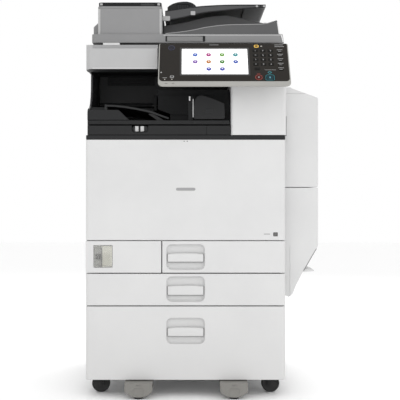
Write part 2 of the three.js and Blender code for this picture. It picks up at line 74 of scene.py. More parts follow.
class Nodes:
    """A short way to write a shader: each call adds one node and returns an output of it."""

    def __init__(self, name):
        self.material = bpy.data.materials.new(name)
        self.material.use_nodes = True
        self.tree = self.material.node_tree
        self.shader = self.tree.nodes["Principled BSDF"]
        self.place = self.add("ShaderNodeTexCoord").outputs["Object"]

    def add(self, kind, **settings):
        node = self.tree.nodes.new(kind)
        for key, value in settings.items():
            setattr(node, key, value)
        return node

    def feed(self, socket, value):
        if isinstance(value, bpy.types.NodeSocket):
            self.tree.links.new(value, socket)
        else:
            socket.default_value = value

    def set(self, **values):
        for key, value in values.items():
            self.feed(self.shader.inputs[key.replace("_", " ")], value)

    def noise(self, scale, detail=3.0, rough=0.55, where=None):
        node = self.add("ShaderNodeTexNoise")
        self.feed(node.inputs["Vector"], where or self.place)
        node.inputs["Scale"].default_value = scale
        node.inputs["Detail"].default_value = detail
        node.inputs["Roughness"].default_value = rough
        return node.outputs["Fac"]

    def cells(self, scale, where=None):
        node = self.add("ShaderNodeTexVoronoi")
        self.feed(node.inputs["Vector"], where or self.place)
        node.inputs["Scale"].default_value = scale
        return node.outputs["Distance"]

    def stretched(self, x, y, z):
        node = self.add("ShaderNodeMapping")
        self.feed(node.inputs["Vector"], self.place)
        node.inputs["Scale"].default_value = (x, y, z)
        return node.outputs["Vector"]

    def ramp(self, value, low, high):
        """value from low..high is spread to 0..1."""
        node = self.add("ShaderNodeMapRange")
        self.feed(node.inputs["Value"], value)
        node.inputs["From Min"].default_value = low
        node.inputs["From Max"].default_value = high
        return node.outputs["Result"]

    def spread(self, value, low, high):
        """0..1 is spread to low..high."""
        node = self.add("ShaderNodeMapRange")
        self.feed(node.inputs["Value"], value)
        node.inputs["To Min"].default_value = low
        node.inputs["To Max"].default_value = high
        return node.outputs["Result"]

    def maths(self, operation, first, second=0.0):
        node = self.add("ShaderNodeMath", operation=operation)
        self.feed(node.inputs[0], first)
        self.feed(node.inputs[1], second)
        return node.outputs[0]

    def mix(self, share, first, second):
        node = self.add("ShaderNodeMix", data_type="RGBA")
        self.feed(node.inputs["Factor"], share)
        self.feed(node.inputs[6], first)
        self.feed(node.inputs[7], second)
        return node.outputs[2]

    def edges(self):
        """1 on worn convex edges, 0 elsewhere."""
        pointed = self.add("ShaderNodeNewGeometry").outputs["Pointiness"]
        return self.ramp(pointed, 0.52, 0.6)

    def bump(self, height, distance, strength=1.0):
        node = self.add("ShaderNodeBump")
        self.feed(node.inputs["Height"], height)
        node.inputs["Distance"].default_value = distance
        node.inputs["Strength"].default_value = strength
        return node.outputs["Normal"]


def colour(value, tint=(1.0, 1.0, 1.0)):
    return (value * tint[0], value * tint[1], value * tint[2], 1.0)


def textured_plastic(name, base, roughness, grain=1400, depth=0.00005, variation=0.03, wear=0.15, sheen=0.5):
    """Moulded plastic with a spark-eroded grain, a little unevenness in tone, and rubbed edges."""
    n = Nodes(name)
    tone = n.ramp(n.noise(9, 4), 0.35, 0.65)
    dark = tuple(c * (1 - variation) for c in base[:3]) + (1.0,)
    light = tuple(min(1.0, c * (1 + variation)) for c in base[:3]) + (1.0,)
    rubbed = tuple(min(1.0, c * 1.25 + 0.02) for c in base[:3]) + (1.0,)
    body = n.mix(tone, dark, light)
    worn = n.maths("MULTIPLY", n.edges(), wear)
    n.set(Base_Color=n.mix(worn, body, rubbed))
    fine = n.noise(grain, 2, 0.6)
    smear = n.noise(26, 5, 0.65)
    n.set(Roughness=n.spread(n.maths("ADD", n.maths("MULTIPLY", fine, 0.4), n.maths("MULTIPLY", smear, 0.6)),
                             roughness - 0.07, roughness + 0.07))
    n.set(Normal=n.bump(fine, depth))
    n.shader.inputs["Specular IOR Level"].default_value = sheen
    return n.material


def white_cover_material():
    """The warm white covers: a fine grain, a faint greying towards the floor, and scuffs low down."""
    n = Nodes("white_cover")
    split = n.add("ShaderNodeSeparateXYZ")
    n.feed(split.inputs[0], n.place)
    height = split.outputs["Z"]
    low = n.ramp(height, 0.45, 0.0)
    clean = n.mix(n.ramp(n.noise(7, 4), 0.35, 0.65), colour(0.59), colour(0.615, (1, 1, 0.998)))
    greyed = n.mix(n.maths("MULTIPLY", low, 0.5), clean, colour(0.56, (1, 0.995, 0.985)))
    scuffs = n.ramp(n.noise(38, 6, 0.7, n.stretched(1, 1, 4)), 0.68, 0.78)
    marked = n.mix(n.maths("MULTIPLY", n.maths("MULTIPLY", scuffs, low), 0.35), greyed, colour(0.42))
    n.set(Base_Color=marked)
    fine = n.noise(1500, 2, 0.6)
    n.set(Roughness=n.spread(n.maths("ADD", n.maths("MULTIPLY", fine, 0.5), n.maths("MULTIPLY", scuffs, 0.5)),
                             0.42, 0.6))
    n.set(Normal=n.bump(fine, 0.00004))
    return n.material


def brushed(name, base, roughness, metallic=1.0):
    """Sheet metal with fine lines along X; it also makes the bright strip of a painted highlight beside the
    stapler.
    """
    n = Nodes(name)
    lines = n.noise(900, 3, 0.6, n.stretched(0.02, 1, 1))
    spangle = n.ramp(n.cells(60), 0.1, 0.7)
    n.set(Base_Color=n.mix(n.maths("MULTIPLY", spangle, 0.3), colour(base), colour(base * 1.2)))
    n.set(Roughness=n.spread(lines, roughness - 0.08, roughness + 0.1), Metallic=metallic)
    n.set(Normal=n.bump(lines, 0.00003))
    return n.material


def rubber(name, base=0.012):
    n = Nodes(name)
    dust = n.ramp(n.noise(60, 5, 0.7), 0.5, 0.8)
    n.set(Base_Color=n.mix(n.maths("MULTIPLY", dust, 0.5), colour(base), colour(base * 4, (1, 0.97, 0.92))))
    fine = n.noise(1100, 2)
    n.set(Roughness=n.spread(fine, 0.6, 0.85), Normal=n.bump(fine, 0.00005))
    return n.material


def glossy(name, base, roughness=0.12, coat=0.6, fingerprints=0.08, sheen=0.5):
    """Smooth gloss plastic with faint finger smears."""
    n = Nodes(name)
    smear = n.ramp(n.noise(45, 6, 0.7), 0.5, 0.75)
    n.set(Base_Color=n.mix(n.maths("MULTIPLY", smear, 0.25), base, tuple(c * 1.3 for c in base[:3]) + (1.0,)))
    n.set(Roughness=n.spread(smear, roughness, roughness + fingerprints))
    n.set(Normal=n.bump(n.noise(300, 2), 0.000004))
    n.shader.inputs["Coat Weight"].default_value = coat
    n.shader.inputs["Coat Roughness"].default_value = 0.05
    n.shader.inputs["Specular IOR Level"].default_value = sheen
    return n.material


def clear_plastic(name, base, transmission):
    n = Nodes(name)
    haze = n.noise(80, 4)
    n.set(Base_Color=n.mix(n.maths("MULTIPLY", haze, 0.3), base, colour(0.9)))
    n.set(Roughness=n.spread(haze, 0.06, 0.2))
    n.shader.inputs["Transmission Weight"].default_value = transmission
    n.shader.inputs["IOR"].default_value = 1.49
    n.set(Normal=n.bump(haze, 0.00002))
    return n.material


def lit(name, base, strength, variation=0.05):
    """A glowing surface, such as a display or a lamp; it also gives the switch backing a faint painted glow."""
    n = Nodes(name)
    tone = n.mix(n.maths("MULTIPLY", n.noise(30, 2), variation), base, colour(0.8))
    n.set(Base_Color=tone, Emission_Color=tone)
    n.set(Roughness=n.spread(n.noise(90, 3), 0.12, 0.2))
    n.shader.inputs["Emission Strength"].default_value = strength
    return n.material


def painted(name, base, roughness=0.4):
    """A printed mark or a small coloured moulding; also flat colour for painted shade and painted highlights."""
    n = Nodes(name)
    fine = n.noise(700, 3)
    n.set(Base_Color=n.mix(n.maths("MULTIPLY", fine, 0.2), base, tuple(c * 0.8 for c in base[:3]) + (1.0,)))
    n.set(Roughness=n.spread(fine, roughness - 0.05, roughness + 0.08), Normal=n.bump(fine, 0.00001))
    return n.material


WHITE = white_cover_material()
DARK = textured_plastic("dark_plastic", (0.015, 0.0155, 0.0165), 0.5, depth=0.00008, sheen=0.2)
LINER = textured_plastic("liner_plastic", (0.026, 0.0265, 0.028), 0.5, depth=0.00008, sheen=0.4)
DARK_LIGHTER = textured_plastic("dark_plastic_lighter", (0.026, 0.0265, 0.028), 0.45, depth=0.00008,
                                sheen=0.25)
FINISHER_DARK = textured_plastic("finisher_dark", (0.005, 0.0053, 0.0057), 0.45, depth=0.00008, sheen=0.08)
GREY = textured_plastic("grey_plastic", (0.12, 0.12, 0.122), 0.45)
SILVER = textured_plastic("silver_cover", (0.40, 0.40, 0.402), 0.38, depth=0.00004)
# A darker copy of the silver: the badge field's own colour, and painted shade on the scanner's sloped brow.
SILVER_DARK_SHADE_AND_BADGE = textured_plastic("silver_dark_shade_and_badge", (0.28, 0.28, 0.283), 0.4, depth=0.00004)
FEEDER_GREY = textured_plastic("feeder_grey", (0.22, 0.22, 0.222), 0.42, depth=0.00005)
WARM_GREY = textured_plastic("stabiliser_plastic", (0.19, 0.184, 0.17), 0.5)
STEEL = brushed("frame_steel", 0.5, 0.38)
CHROME = brushed("bright_steel", 0.75, 0.18)
BLACK = rubber("black_rubber")
PANEL_BLACK = glossy("panel_face", (0.011, 0.0085, 0.006, 1.0), 0.16, coat=0.08, sheen=0.2)
BEZEL = textured_plastic("panel_bezel", (0.335, 0.33, 0.31), 0.3, depth=0.00002)
SMOKED = clear_plastic("clear_plastic", (0.88, 0.88, 0.84, 1.0), 0.92)
GLASS = clear_plastic("glass", (0.8, 0.88, 0.86, 1.0), 0.9)
SILVER_LIGHT = textured_plastic("silver_light", (0.52, 0.52, 0.52), 0.35, depth=0.00003)
LID_GREY = textured_plastic("lid_grey", (0.212, 0.212, 0.214), 0.42, depth=0.00005)
# A light grey used only for painted highlights: the feeder's rounded front corners and the lid's top front edge.
LID_EDGE_HIGHLIGHT = textured_plastic("lid_edge_painted_highlight", (0.42, 0.42, 0.42), 0.35, depth=0.00004)
EXIT_GREY = textured_plastic("exit_tray_grey", (0.085, 0.085, 0.087), 0.42, depth=0.00005, sheen=0.3)
EXIT_LIGHT = textured_plastic("exit_tray_light", (0.25, 0.25, 0.25), 0.35, depth=0.00003)
FENCE_GREY = textured_plastic("fence_grey", (0.075, 0.075, 0.077), 0.42, depth=0.00005, sheen=0.3)
COVER_GREY = textured_plastic("feed_cover_grey", (0.012, 0.012, 0.013), 0.4, depth=0.00005, sheen=0.12)
TRAY_SIDE = textured_plastic("original_tray_side", (0.06, 0.06, 0.062), 0.36, depth=0.00004, sheen=0.3)
TRAY_DARK = textured_plastic("output_tray_dark", (0.02, 0.0205, 0.0215), 0.4, depth=0.00006, sheen=0.2)
TRAY_BLOCK = textured_plastic("tray_block", (0.014, 0.0143, 0.015), 0.42, depth=0.00008, sheen=0.16)
STAPLER = textured_plastic("stapler_cover", (0.016, 0.0163, 0.017), 0.42, depth=0.00006, sheen=0.16)
LABEL_GREY = painted("label_grey", colour(0.36))
# The beige backing in the switch window glows faintly though it is no lamp: painted light.
BEIGE_PAINTED_GLOW = lit("switch_backing", (0.80, 0.79, 0.72, 1.0), 0.12)
GRIP_GREY = textured_plastic("lid_grip_grey", (0.19, 0.19, 0.19), 0.35, depth=0.00004)
GRIP_MARK = painted("grip_mark", colour(0.5))
# Near-white for painted highlights on the right ends of the lid and of the exit tray.
END_HIGHLIGHT_WHITE = painted("end_painted_highlight", colour(0.72))
# Flat grey for painted shade in the gaps at the ends of the drawers' grip bars and under them.
GRIP_SHADE_PAINT = painted("grip_painted_shade", colour(0.24))
# A bright metal strip that stands for the painted highlight on the stapler cover's left edge.
STAPLER_EDGE_HIGHLIGHT = brushed("stapler_painted_highlight_metal", 0.4, 0.35)
BADGE = painted("badge", colour(0.3), 0.3)
BADGE_DARK = painted("panel_badge", colour(0.12), 0.3)
PAPER = painted("paper_white", colour(0.82), 0.7)
MARK_BLUE = painted("mark_blue", (0.08, 0.2, 0.5, 1.0))
GUIDE_GREEN = textured_plastic("guide_green", (0.03, 0.20, 0.13), 0.45, depth=0.00005)
KEY_DARK = textured_plastic("key_dark", (0.007, 0.0063, 0.0055), 0.4, depth=0.00003, sheen=0.12)
KEY_MARK = painted("key_mark", colour(0.4))
BLACK_GLOSS = glossy("screen_border", (0.008, 0.008, 0.008, 1.0))
SCREEN_LIGHT = lit("screen_light", colour(0.95), 0.8)
SCREEN_TEXT = painted("screen_text", (0.10, 0.12, 0.22, 1.0))
MAIN_LAMP = lit("status_lamp", (0.62, 0.38, 0.05, 1.0), 0.25)
LAMP_DIM = painted("lamp_dim", (0.42, 0.40, 0.36, 1.0))
START_LIGHT = painted("start_light", (0.10, 0.32, 0.42, 1.0), 0.3)
RING_BLUE = painted("home_ring", (0.03, 0.032, 0.07, 1.0), 0.3)
TEAL_RING = painted("teal_ring", (0.015, 0.19, 0.22, 1.0), 0.3)
RED_RING = painted("red_ring", (0.26, 0.03, 0.02, 1.0), 0.3)
CLEAR_GREY = clear_plastic("waste_bottle", (0.55, 0.56, 0.55, 1.0), 0.35)
MATERIAL_OF_SLOT = {
    "white_cover": WHITE, "dark_plastic": DARK, "grey_plastic": GREY, "silver_cover": SILVER,
    "frame_steel": STEEL, "panel_face": PANEL_BLACK, "black_rubber": BLACK,
    "stabiliser_plastic": WARM_GREY, "clear_plastic": SMOKED, "glass": GLASS,
    "screen": lit("screen", colour(0.9), 0.75),
    "start_key": glossy("start_key", (0.005, 0.028, 0.036, 1.0), 0.15, coat=0.1, sheen=0.2),
    "stop_key": glossy("stop_key", (0.05, 0.007, 0.005, 1.0), 0.15, coat=0.1, sheen=0.2),
    "home_key": glossy("home_key", (0.012, 0.012, 0.02, 1.0), 0.15, coat=0.1, sheen=0.2),
    "toner_black": glossy("toner_black", (0.02, 0.02, 0.02, 1.0)),
    "toner_cyan": glossy("toner_cyan", (0.02, 0.32, 0.6, 1.0)),
    "toner_magenta": glossy("toner_magenta", (0.6, 0.03, 0.22, 1.0)),
    "toner_yellow": glossy("toner_yellow", (0.85, 0.62, 0.03, 1.0)),
}
SLOT_OF_NODE = {row["node"]: row["material_slot"] for row in frame["record"]["subparts"]}

# ---------------------------------------------------------------- mesh helpers


def arc(a, b, radius, start, end, steps=8):
    """Points of an arc about (a, b), from start to end degrees."""
    turn = [math.radians(start + (end - start) * i / steps) for i in range(steps + 1)]
    return [(a + radius * math.cos(t), b + radius * math.sin(t)) for t in turn]


def rounded(a0, a1, b0, b1, radii, steps=8):
    """A rectangle with its corner radii given from the lower left round counter-clockwise."""
    r = radii if isinstance(radii, (list, tuple)) else [radii] * 4
    points = []
    corners = [(a0, b0, r[0], 180), (a1, b0, r[1], 270), (a1, b1, r[2], 0), (a0, b1, r[3], 90)]
    for a, b, radius, start in corners:
        if radius <= 0:
            points.append((a, b))
            continue
        inward_a = radius if a == a0 else -radius
        inward_b = radius if b == b0 else -radius
        points += arc(a + inward_a, b + inward_b, radius, start, start + 90, steps)
    return points


def curve_points(start, control, end, steps=10):
    """Points of a quadratic curve, without its first one."""
    points = []
    for i in range(1, steps + 1):
        t = i / steps
        weights = ((1 - t) ** 2, 2 * t * (1 - t), t * t)
        points.append(tuple(sum(w * p[k] for w, p in zip(weights, (start, control, end))) for k in (0, 1)))
    return points


def smooth_line(points, steps=6):
    """A Catmull-Rom curve through the points."""
    result = [points[0]]
    for i in range(len(points) - 1):
        p0 = points[max(i - 1, 0)]
        p1, p2 = points[i], points[i + 1]
        p3 = points[min(i + 2, len(points) - 1)]
        for step in range(1, steps + 1):
            t = step / steps
            result.append(tuple(
                0.5 * (2 * b + (c - a) * t + (2 * a - 5 * b + 4 * c - d) * t * t
                       + (3 * b - a - 3 * c + d) * t ** 3)
                for a, b, c, d in zip(p0, p1, p2, p3)))
    return result


AXIS_PLACES = {
    "x": lambda a, b, along: spot(along, a, b),
    "y": lambda a, b, along: spot(a, along, b),
    "z": lambda a, b, along: spot(a, b, along),
}


def link(name, bm, material):
    bmesh.ops.recalc_face_normals(bm, faces=bm.faces)
    mesh = bpy.data.meshes.new(name)
    bm.to_mesh(mesh)
    bm.free()
    piece = bpy.data.objects.new(name, mesh)
    bpy.context.scene.collection.objects.link(piece)
    mesh.materials.append(material)
    return piece


def loft(name, rings, material=None):
    """A closed skin over rings of equally many points, with its first and last ring filled."""
    bm = bmesh.new()
    loops = [[bm.verts.new(point) for point in ring] for ring in rings]
    for first, second in zip(loops, loops[1:]):
        for i in range(len(first)):
            j = (i + 1) % len(first)
            bm.faces.new((first[i], first[j], second[j], second[i]))
    bm.faces.new(loops[0])
    bm.faces.new(loops[-1])
    return link(name, bm, material or WHITE)


def prism(name, axis, points, start, end, material=None, place=None):
    """A prism along an axis from an outline in the two other ones (y z, x z or x y), in millimetres."""
    put = place or AXIS_PLACES[axis]
    return loft(name, [[put(a, b, along) for a, b in points] for along in (start, end)], material)


def block(name, x0, x1, y0, y1, z0, z1, material=None, place=None):
    return prism(name, "z", [(x0, y0), (x1, y0), (x1, y1), (x0, y1)], z0, z1, material, place)


def disc_points(a, b, radius, steps=32):
    return arc(a, b, radius, 0, 360 - 360 / steps, steps - 1)


def lathe(name, profile, centre, axis, material, steps=40, closed=False):
    """Turns a profile of (radius, along) points about an axis through centre; a closed one is a ring."""
    axis = Vector(axis).normalized()
    side = axis.orthogonal().normalized()
    other = axis.cross(side)
    bm = bmesh.new()
    rings = []
    for radius, along in profile:
        if radius <= 1e-6:
            rings.append([bm.verts.new(centre + axis * along * MM)])
            continue
        ring = []
        for i in range(steps):
            t = 2 * math.pi * i / steps
            offset = (side * math.cos(t) + other * math.sin(t)) * radius * MM
            ring.append(bm.verts.new(centre + axis * along * MM + offset))
        rings.append(ring)
    for first, second in zip(rings, rings[1:]):
        for i in range(steps):
            j = (i + 1) % steps
            corners = [first[i % len(first)], first[j % len(first)],
                       second[j % len(second)], second[i % len(second)]]
            unique = list(dict.fromkeys(corners))
            if len(unique) > 2:
                bm.faces.new(unique)
    if closed:
        bmesh.ops.remove_doubles(bm, verts=bm.verts, dist=1e-7)
    else:
        for ring in (rings[0], rings[-1]):
            if len(ring) > 2:
                bm.faces.new(ring)
    return link(name, bm, material)


def boolean(piece, others, operation):
    """Cuts or joins the other meshes with this one for good, and removes them."""
    for other in others:
        modifier = piece.modifiers.new(operation.lower(), "BOOLEAN")
        modifier.operation = operation
        modifier.object = other
        modifier.solver = "EXACT"
    bpy.context.view_layer.update()
    graph = bpy.context.evaluated_depsgraph_get()
    result = bpy.data.meshes.new_from_object(piece.evaluated_get(graph))
    piece.modifiers.clear()
    old = piece.data
    piece.data = result
    bpy.data.meshes.remove(old)
    for other in others:
        mesh = other.data
        bpy.data.objects.remove(other)
        bpy.data.meshes.remove(mesh)
    return piece


def carve(piece, *cutters):
    return boolean(piece, cutters, "DIFFERENCE")


def fuse(piece, *others):
    return boolean(piece, others, "UNION")


def smooth(piece, angle):
    """Shades the piece smooth, with its edges sharp where they turn by more than angle degrees."""
    piece.data.shade_smooth()
    piece.data.set_sharp_from_angle(angle=math.radians(angle))
    return piece


def soften(piece, width=0.8, segments=3, angle=28):
    """Rounds the sharp edges by width millimetres and shades the rest smooth."""
    smooth(piece, angle)
    bevel = piece.modifiers.new("edges", "BEVEL")
    bevel.width = width * MM
    bevel.segments = segments
    bevel.limit_method = "ANGLE"
    bevel.angle_limit = math.radians(angle)
    bevel.harden_normals = True
    bevel.use_clamp_overlap = True
    return piece


def bare(node):
    """A CAD node's own shape with merged flats, to be cut and rounded further."""
    source = frame["nodes"][node]
    bm = bmesh.new()
    bm.from_mesh(source.data)
    bmesh.ops.remove_doubles(bm, verts=bm.verts, dist=0.00001)
    bmesh.ops.dissolve_limit(bm, angle_limit=math.radians(1.5), verts=bm.verts, edges=bm.edges)
    return link(f"{node}_shell", bm, MATERIAL_OF_SLOT[SLOT_OF_NODE[node]])


def stand_for(piece, *nodes):
    """The piece replaces these CAD nodes and rides on the first one's body."""
    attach(piece, NODE_BODY[nodes[0]])
    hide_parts(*nodes)
    return piece


def add_on(piece, body, width=0.4):
    """A further piece that rides on a body."""
    if width:
        soften(piece, width, 2)
    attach(piece, body)
    return piece

# ---------------------------------------------------------------- shared small pieces

HALF_MM = HALF / MM
BACK_MM = local_box("rear_cover")[3]


def left_side(a, b, depth):
    return spot(-HALF_MM + depth, a, b)


def right_side(a, b, depth):
    return spot(HALF_MM - depth, a, b)


def back_side(a, b, depth):
    return spot(a, BACK_MM - depth, b)


def front_side(a, b, depth):
    return spot(a, depth, b)


def capsule(a0, a1, b0, b1, steps=6):
    """The outline of a slot with round ends."""
    return rounded(a0, a1, b0, b1, min(a1 - a0, b1 - b0) / 2 - 0.001, steps)


def oblong(a0, a1, b0, b1):
    """A rectangle with sharp corners."""
    return [(a0, b0), (a1, b0), (a1, b1), (a0, b1)]


def band(line, above, below):
    """The outline of a strip along a line, between two offsets from it in millimetres."""
    return [(a, b + above) for a, b in line] + [(a, b + below) for a, b in reversed(line)]


def joined(name, pieces):
    """One mesh from several of the same material."""
    bm = bmesh.new()
    material = pieces[0].data.materials[0]
    for piece in pieces:
        bm.from_mesh(piece.data)
        mesh = piece.data
        bpy.data.objects.remove(piece)
        bpy.data.meshes.remove(mesh)
    return link(name, bm, material)


def solid(name, axis, outline, start, end, material, body, width):
    """A prism that rides on a body."""
    return add_on(prism(name, axis, outline, start, end, material), body, width)


def slab(name, x0, x1, y0, y1, z0, z1, material, body, width):
    """A block that rides on a body."""
    return add_on(block(name, x0, x1, y0, y1, z0, z1, material), body, width)


def plate(name, outline, depth0, depth1, material, body, side=front_side, width=0.3):
    """A thin flat piece on one side of the machine."""
    return add_on(prism(name, "y", outline, depth0, depth1, material, side), body, width)


def flared(name, box, sections, radius, steps, place=front_side, material=None, bend=0):
    """A loft of a rounded box a0, a1, b0, b1 that grows by g, and its corners by bend * g, at each depth."""
    a0, a1, b0, b1 = box
    rings = []
    for depth, g in sections:
        outline = rounded(a0 - g, a1 + g, b0 - g, b1 + g, radius + bend * g, steps)
        rings.append([place(a, b, depth) for a, b in outline])
    return loft(name, rings, material)


def roller(centre, axis, radius, half, crown=0.4):
    """A rubber roller, thicker by crown between its chamfered ends."""
    wide, inner = radius + crown, half - 1
    profile = [(0, -half), (radius, -half), (wide, -inner), (wide, inner), (radius, half), (0, half)]
    return lathe("roller", profile, centre, axis, BLACK, 24)


def shaft(centre, axis, radius, half):
    return lathe("shaft", [(0, -half), (radius, -half), (radius, half), (0, half)], centre, axis, BLACK, 12)


def grille(cover, name, side, a0, a1, b0, b1, blades):
    """An air grille: a pocket in the cover, a dark mesh at its bottom and sloping blades."""
    carve(cover, prism("cutter", "y", rounded(a0, a1, b0, b1, 4), -2, 5.4, place=side))
    backing = rounded(a0 + 0.2, a1 - 0.2, b0 + 0.2, b1 - 0.2, 4)
    plate(f"{name}_mesh", backing, 4.6, 5.3, DARK, "machine", side, 0)
    pitch = (b1 - b0) / blades
    slats = []
    for i in range(blades):
        b = b0 + (i + 0.5) * pitch
        section = [(0.5, b - 0.3 * pitch), (0.5, b - 0.05 * pitch),
                   (4.4, b + 0.32 * pitch), (4.4, b + 0.07 * pitch)]
        slats.append(prism("slat", "y", section, a0 + 0.3, a1 - 0.3, cover.data.materials[0],
                           lambda d, v, along: side(along, v, d)))
    add_on(joined(f"{name}_blades", slats), "machine", 0.2)


def groove(cover, side, a0, a1, b0, b1, depth=1.2):
    carve(cover, prism("cutter", "y", oblong(a0, a1, b0, b1), -2, depth, place=side))


def screws(name, places, side, material=None, radius=3.4, sunk=0.0):
    """Pan-head screws with a cross recess, set below the surface by sunk millimetres."""
    heads = []
    out = (side(0, 0, -1) - side(0, 0, 0)).normalized()
    profile = [(radius, -0.2), (radius, 0.5), (radius * 0.8, 1.1), (radius * 0.4, 1.35), (0, 1.4)]
    arm, slot = radius * 0.6, radius * 0.13
    for a, b in places:
        head = lathe("head", profile, side(a, b, sunk), out, material or STEEL, 20)
        cross = [prism("cutter", "y", oblong(a - u, a + u, b - v, b + v), sunk - 3, sunk - 0.6, place=side)
                 for u, v in ((arm, slot), (slot, arm))]
        heads.append(carve(head, *cross))
    return add_on(joined(name, heads), "machine", 0)


# ---------------------------------------------------------------- front door

RIB = 1.2                       # half a stiffening rib's thickness
LINER_FRONT, LINER_BACK = 12, 14.5


def make_door_marks():
    """The blank badge, the two studs on the upper edge and the label at the lower right."""
    plate("badge", capsule(-28, 29, 605.5, 614), -0.7, 0.4, BADGE, "front_door")
    plate("badge_field", capsule(-26.5, 27.5, 607, 612.5), -0.95, -0.5, SILVER_DARK_SHADE_AND_BADGE, "front_door", width=0.15)
    for i, x in enumerate((-4, 5)):
        profile = [(1.6, -0.5), (1.6, 0.5), (1.1, 0.9), (0, 1)]
        add_on(lathe(f"door_stud_{i}", profile, spot(x, 0, 750.5), (0, -1, 0), GREY, 16), "front_door", 0)
    plate("door_label", rounded(230, 248, 476.5, 479.5, 0.6), -0.3, 0.2, LABEL_GREY, "front_door", width=0.1)
    plate("door_tag", rounded(257.5, 270.5, 471.5, 483, 1), -0.5, 0.3, PANEL_BLACK, "front_door", width=0.2)
    for i in range(3):
        line = rounded(259.5, 268.5, 473.6 + 3 * i, 474.4 + 3 * i, 0.3)
        plate(f"door_tag_line_{i}", line, -0.65, -0.4, LABEL_GREY, "front_door", width=0)


def make_door_inside():
    """Ribs, the liner with its openings, two catches and the chart of paper paths."""
    x0, x1, _, _, z0, z1 = local_box("front_door")
    ribs = [block("rib", x0 + 6, x1 - 6, 4, 12, z - RIB, z + RIB) for z in (520, 580, 640, 700)]
    ribs += [block("rib", x - RIB, x + RIB, 4, 11, z0 + 8, z1 - 8)
             for x in (-230, -175, -60, 0, 60, 175, 230)]
    add_on(joined("front_door_ribs", ribs), "front_door", 0.3)
    outline = rounded(x0 + 20, x1 - 20, z0 + 14, z1 - 14, 8)
    liner = prism("front_door_liner", "y", outline, LINER_FRONT, LINER_BACK, WHITE)
    openings = [prism("cutter", "y", rounded(x, x + 100, z, z + 52, 6), LINER_FRONT - 1, LINER_BACK + 1.5)
                for x in (x0 + 32, -56, x1 - 132) for z in (z0 + 24, z1 - 82)]
    add_on(carve(liner, *openings), "front_door", 0.5)
    for i, x in enumerate((-200, 200)):
        hook = [(10, z1 - 22), (17.6, z1 - 22), (17.6, z1 - 9), (15, z1 - 9), (15, z1 - 16), (10, z1 - 16)]
        solid(f"door_catch_{i}", "x", hook, x - 9, x + 9, DARK, "front_door", 0.4)
    plate("door_chart", rounded(-50, 50, 560, 650, 3), 14.3, 14.9, PAPER, "front_door", width=0.1)
    for i in range(6):
        z = 640 - 14 * i
        plate(f"door_chart_row_{i}", rounded(-42, 10 + 24 * (i % 2), z - 1, z + 1, 0.4), 14.7, 15.1,
              MARK_BLUE if i % 2 else LABEL_GREY, "front_door", width=0)


def make_front_door():
    stand_for(soften(bare("front_door"), 1.5), "front_door")
    make_door_marks()
    make_door_inside()


# ---------------------------------------------------------------- drawers

HANDLE_HALF = 55.5
# Each drawer's handle: the recess's bottom and top, and the bar's bottom and top.
HANDLES = {1: (374, 447, 396.5, 422), 2: (280, 352.5, 299, 327), 3: (156, 230.5, 178, 204)}
# How much the recess's outline grows at each depth: it flares at the front, and its floor is rounded.
SCOOP = ((-2, 3.2), (0, 2.4), (0.7, 1.3), (1.9, 0.4), (4, 0), (7.5, -0.9), (10.5, -3), (12.4, -6.5),
         (13.2, -11))


def scoop(bottom, top):
    """The cutter of a handle recess."""
    rings = []
    for depth, grow in SCOOP:
        outline = rounded(-HANDLE_HALF - grow, HANDLE_HALF + grow, bottom - grow, top + grow,
                          max(15 + grow, 6), 7)
        rings.append([spot(a, depth, b) for a, b in outline])
    return loft("cutter", rings)


def grip_bar(bottom, top):
    """The bar across a handle recess: crowned along its length, with thinner ends that join the recess."""
    rings = []
    body_half = HANDLE_HALF - 3.4
    for x in (-body_half, -49, -42, -28, -14, 0, 14, 28, 42, 49, body_half):
        droop = 3.0 * (abs(x) / body_half) ** 4
        back = 0.5 * (x / body_half) ** 2
        outline = rounded(0.4 + back, 8.5, bottom, top - droop, [1.8, 1.5, 1.5, 4.2], 5)
        rings.append([spot(x, a, b) for a, b in outline])
    middle = loft("bar", rings)
    web = block("web", -HANDLE_HALF - 4, HANDLE_HALF + 4, 5.4, 8, bottom + 4, top - 7)
    return soften(fuse(middle, web), 0.35, 2)


def make_drawer_front(number):
    node = f"drawer_{number}_front"
    x0, x1, y0, y1, z0, z1 = local_box(node)
    bottom, top, bar_bottom, bar_top = HANDLES[number]
    left_radius = 10 if x0 < -200 else 1
    shell = prism(f"{node}_shell", "z", rounded(x0, x1, y0, y1, [left_radius, 10, 0, 0]), z0, z1)
    cutters = [scoop(bottom, top)]
    for a0, a1 in ((x0 + 6, -74), (74, x1 - 6)):
        if a1 - a0 > 20:
            cutters.append(prism("cutter", "y", rounded(a0, a1, z0 + 6, z1 - 6, 5), 5, 30))
    carve(shell, *cutters)
    stand_for(soften(shell, 1.1), node)
    add_on(grip_bar(bar_bottom, bar_top), NODE_BODY[node], 0)
    # Grey strips set in the gaps at the bar's ends and under it: painted shade.
    inner, outer = HANDLE_HALF - 3.2, HANDLE_HALF - 0.6
    shade_strips = [block("gap", a0, a1, 4.6, 5.6, bar_bottom + 1, bar_top - 3, GRIP_SHADE_PAINT)
            for a0, a1 in ((-outer, -inner), (inner, outer))]
    shade_strips.append(block("gap", 3 - HANDLE_HALF, HANDLE_HALF - 3, 6.5, 7.5, bar_bottom - 2.4, bar_bottom + 1,
                      GRIP_SHADE_PAINT))
    add_on(joined(f"drawer_{number}_grip_painted_shade", shade_strips), NODE_BODY[node], 0.3)


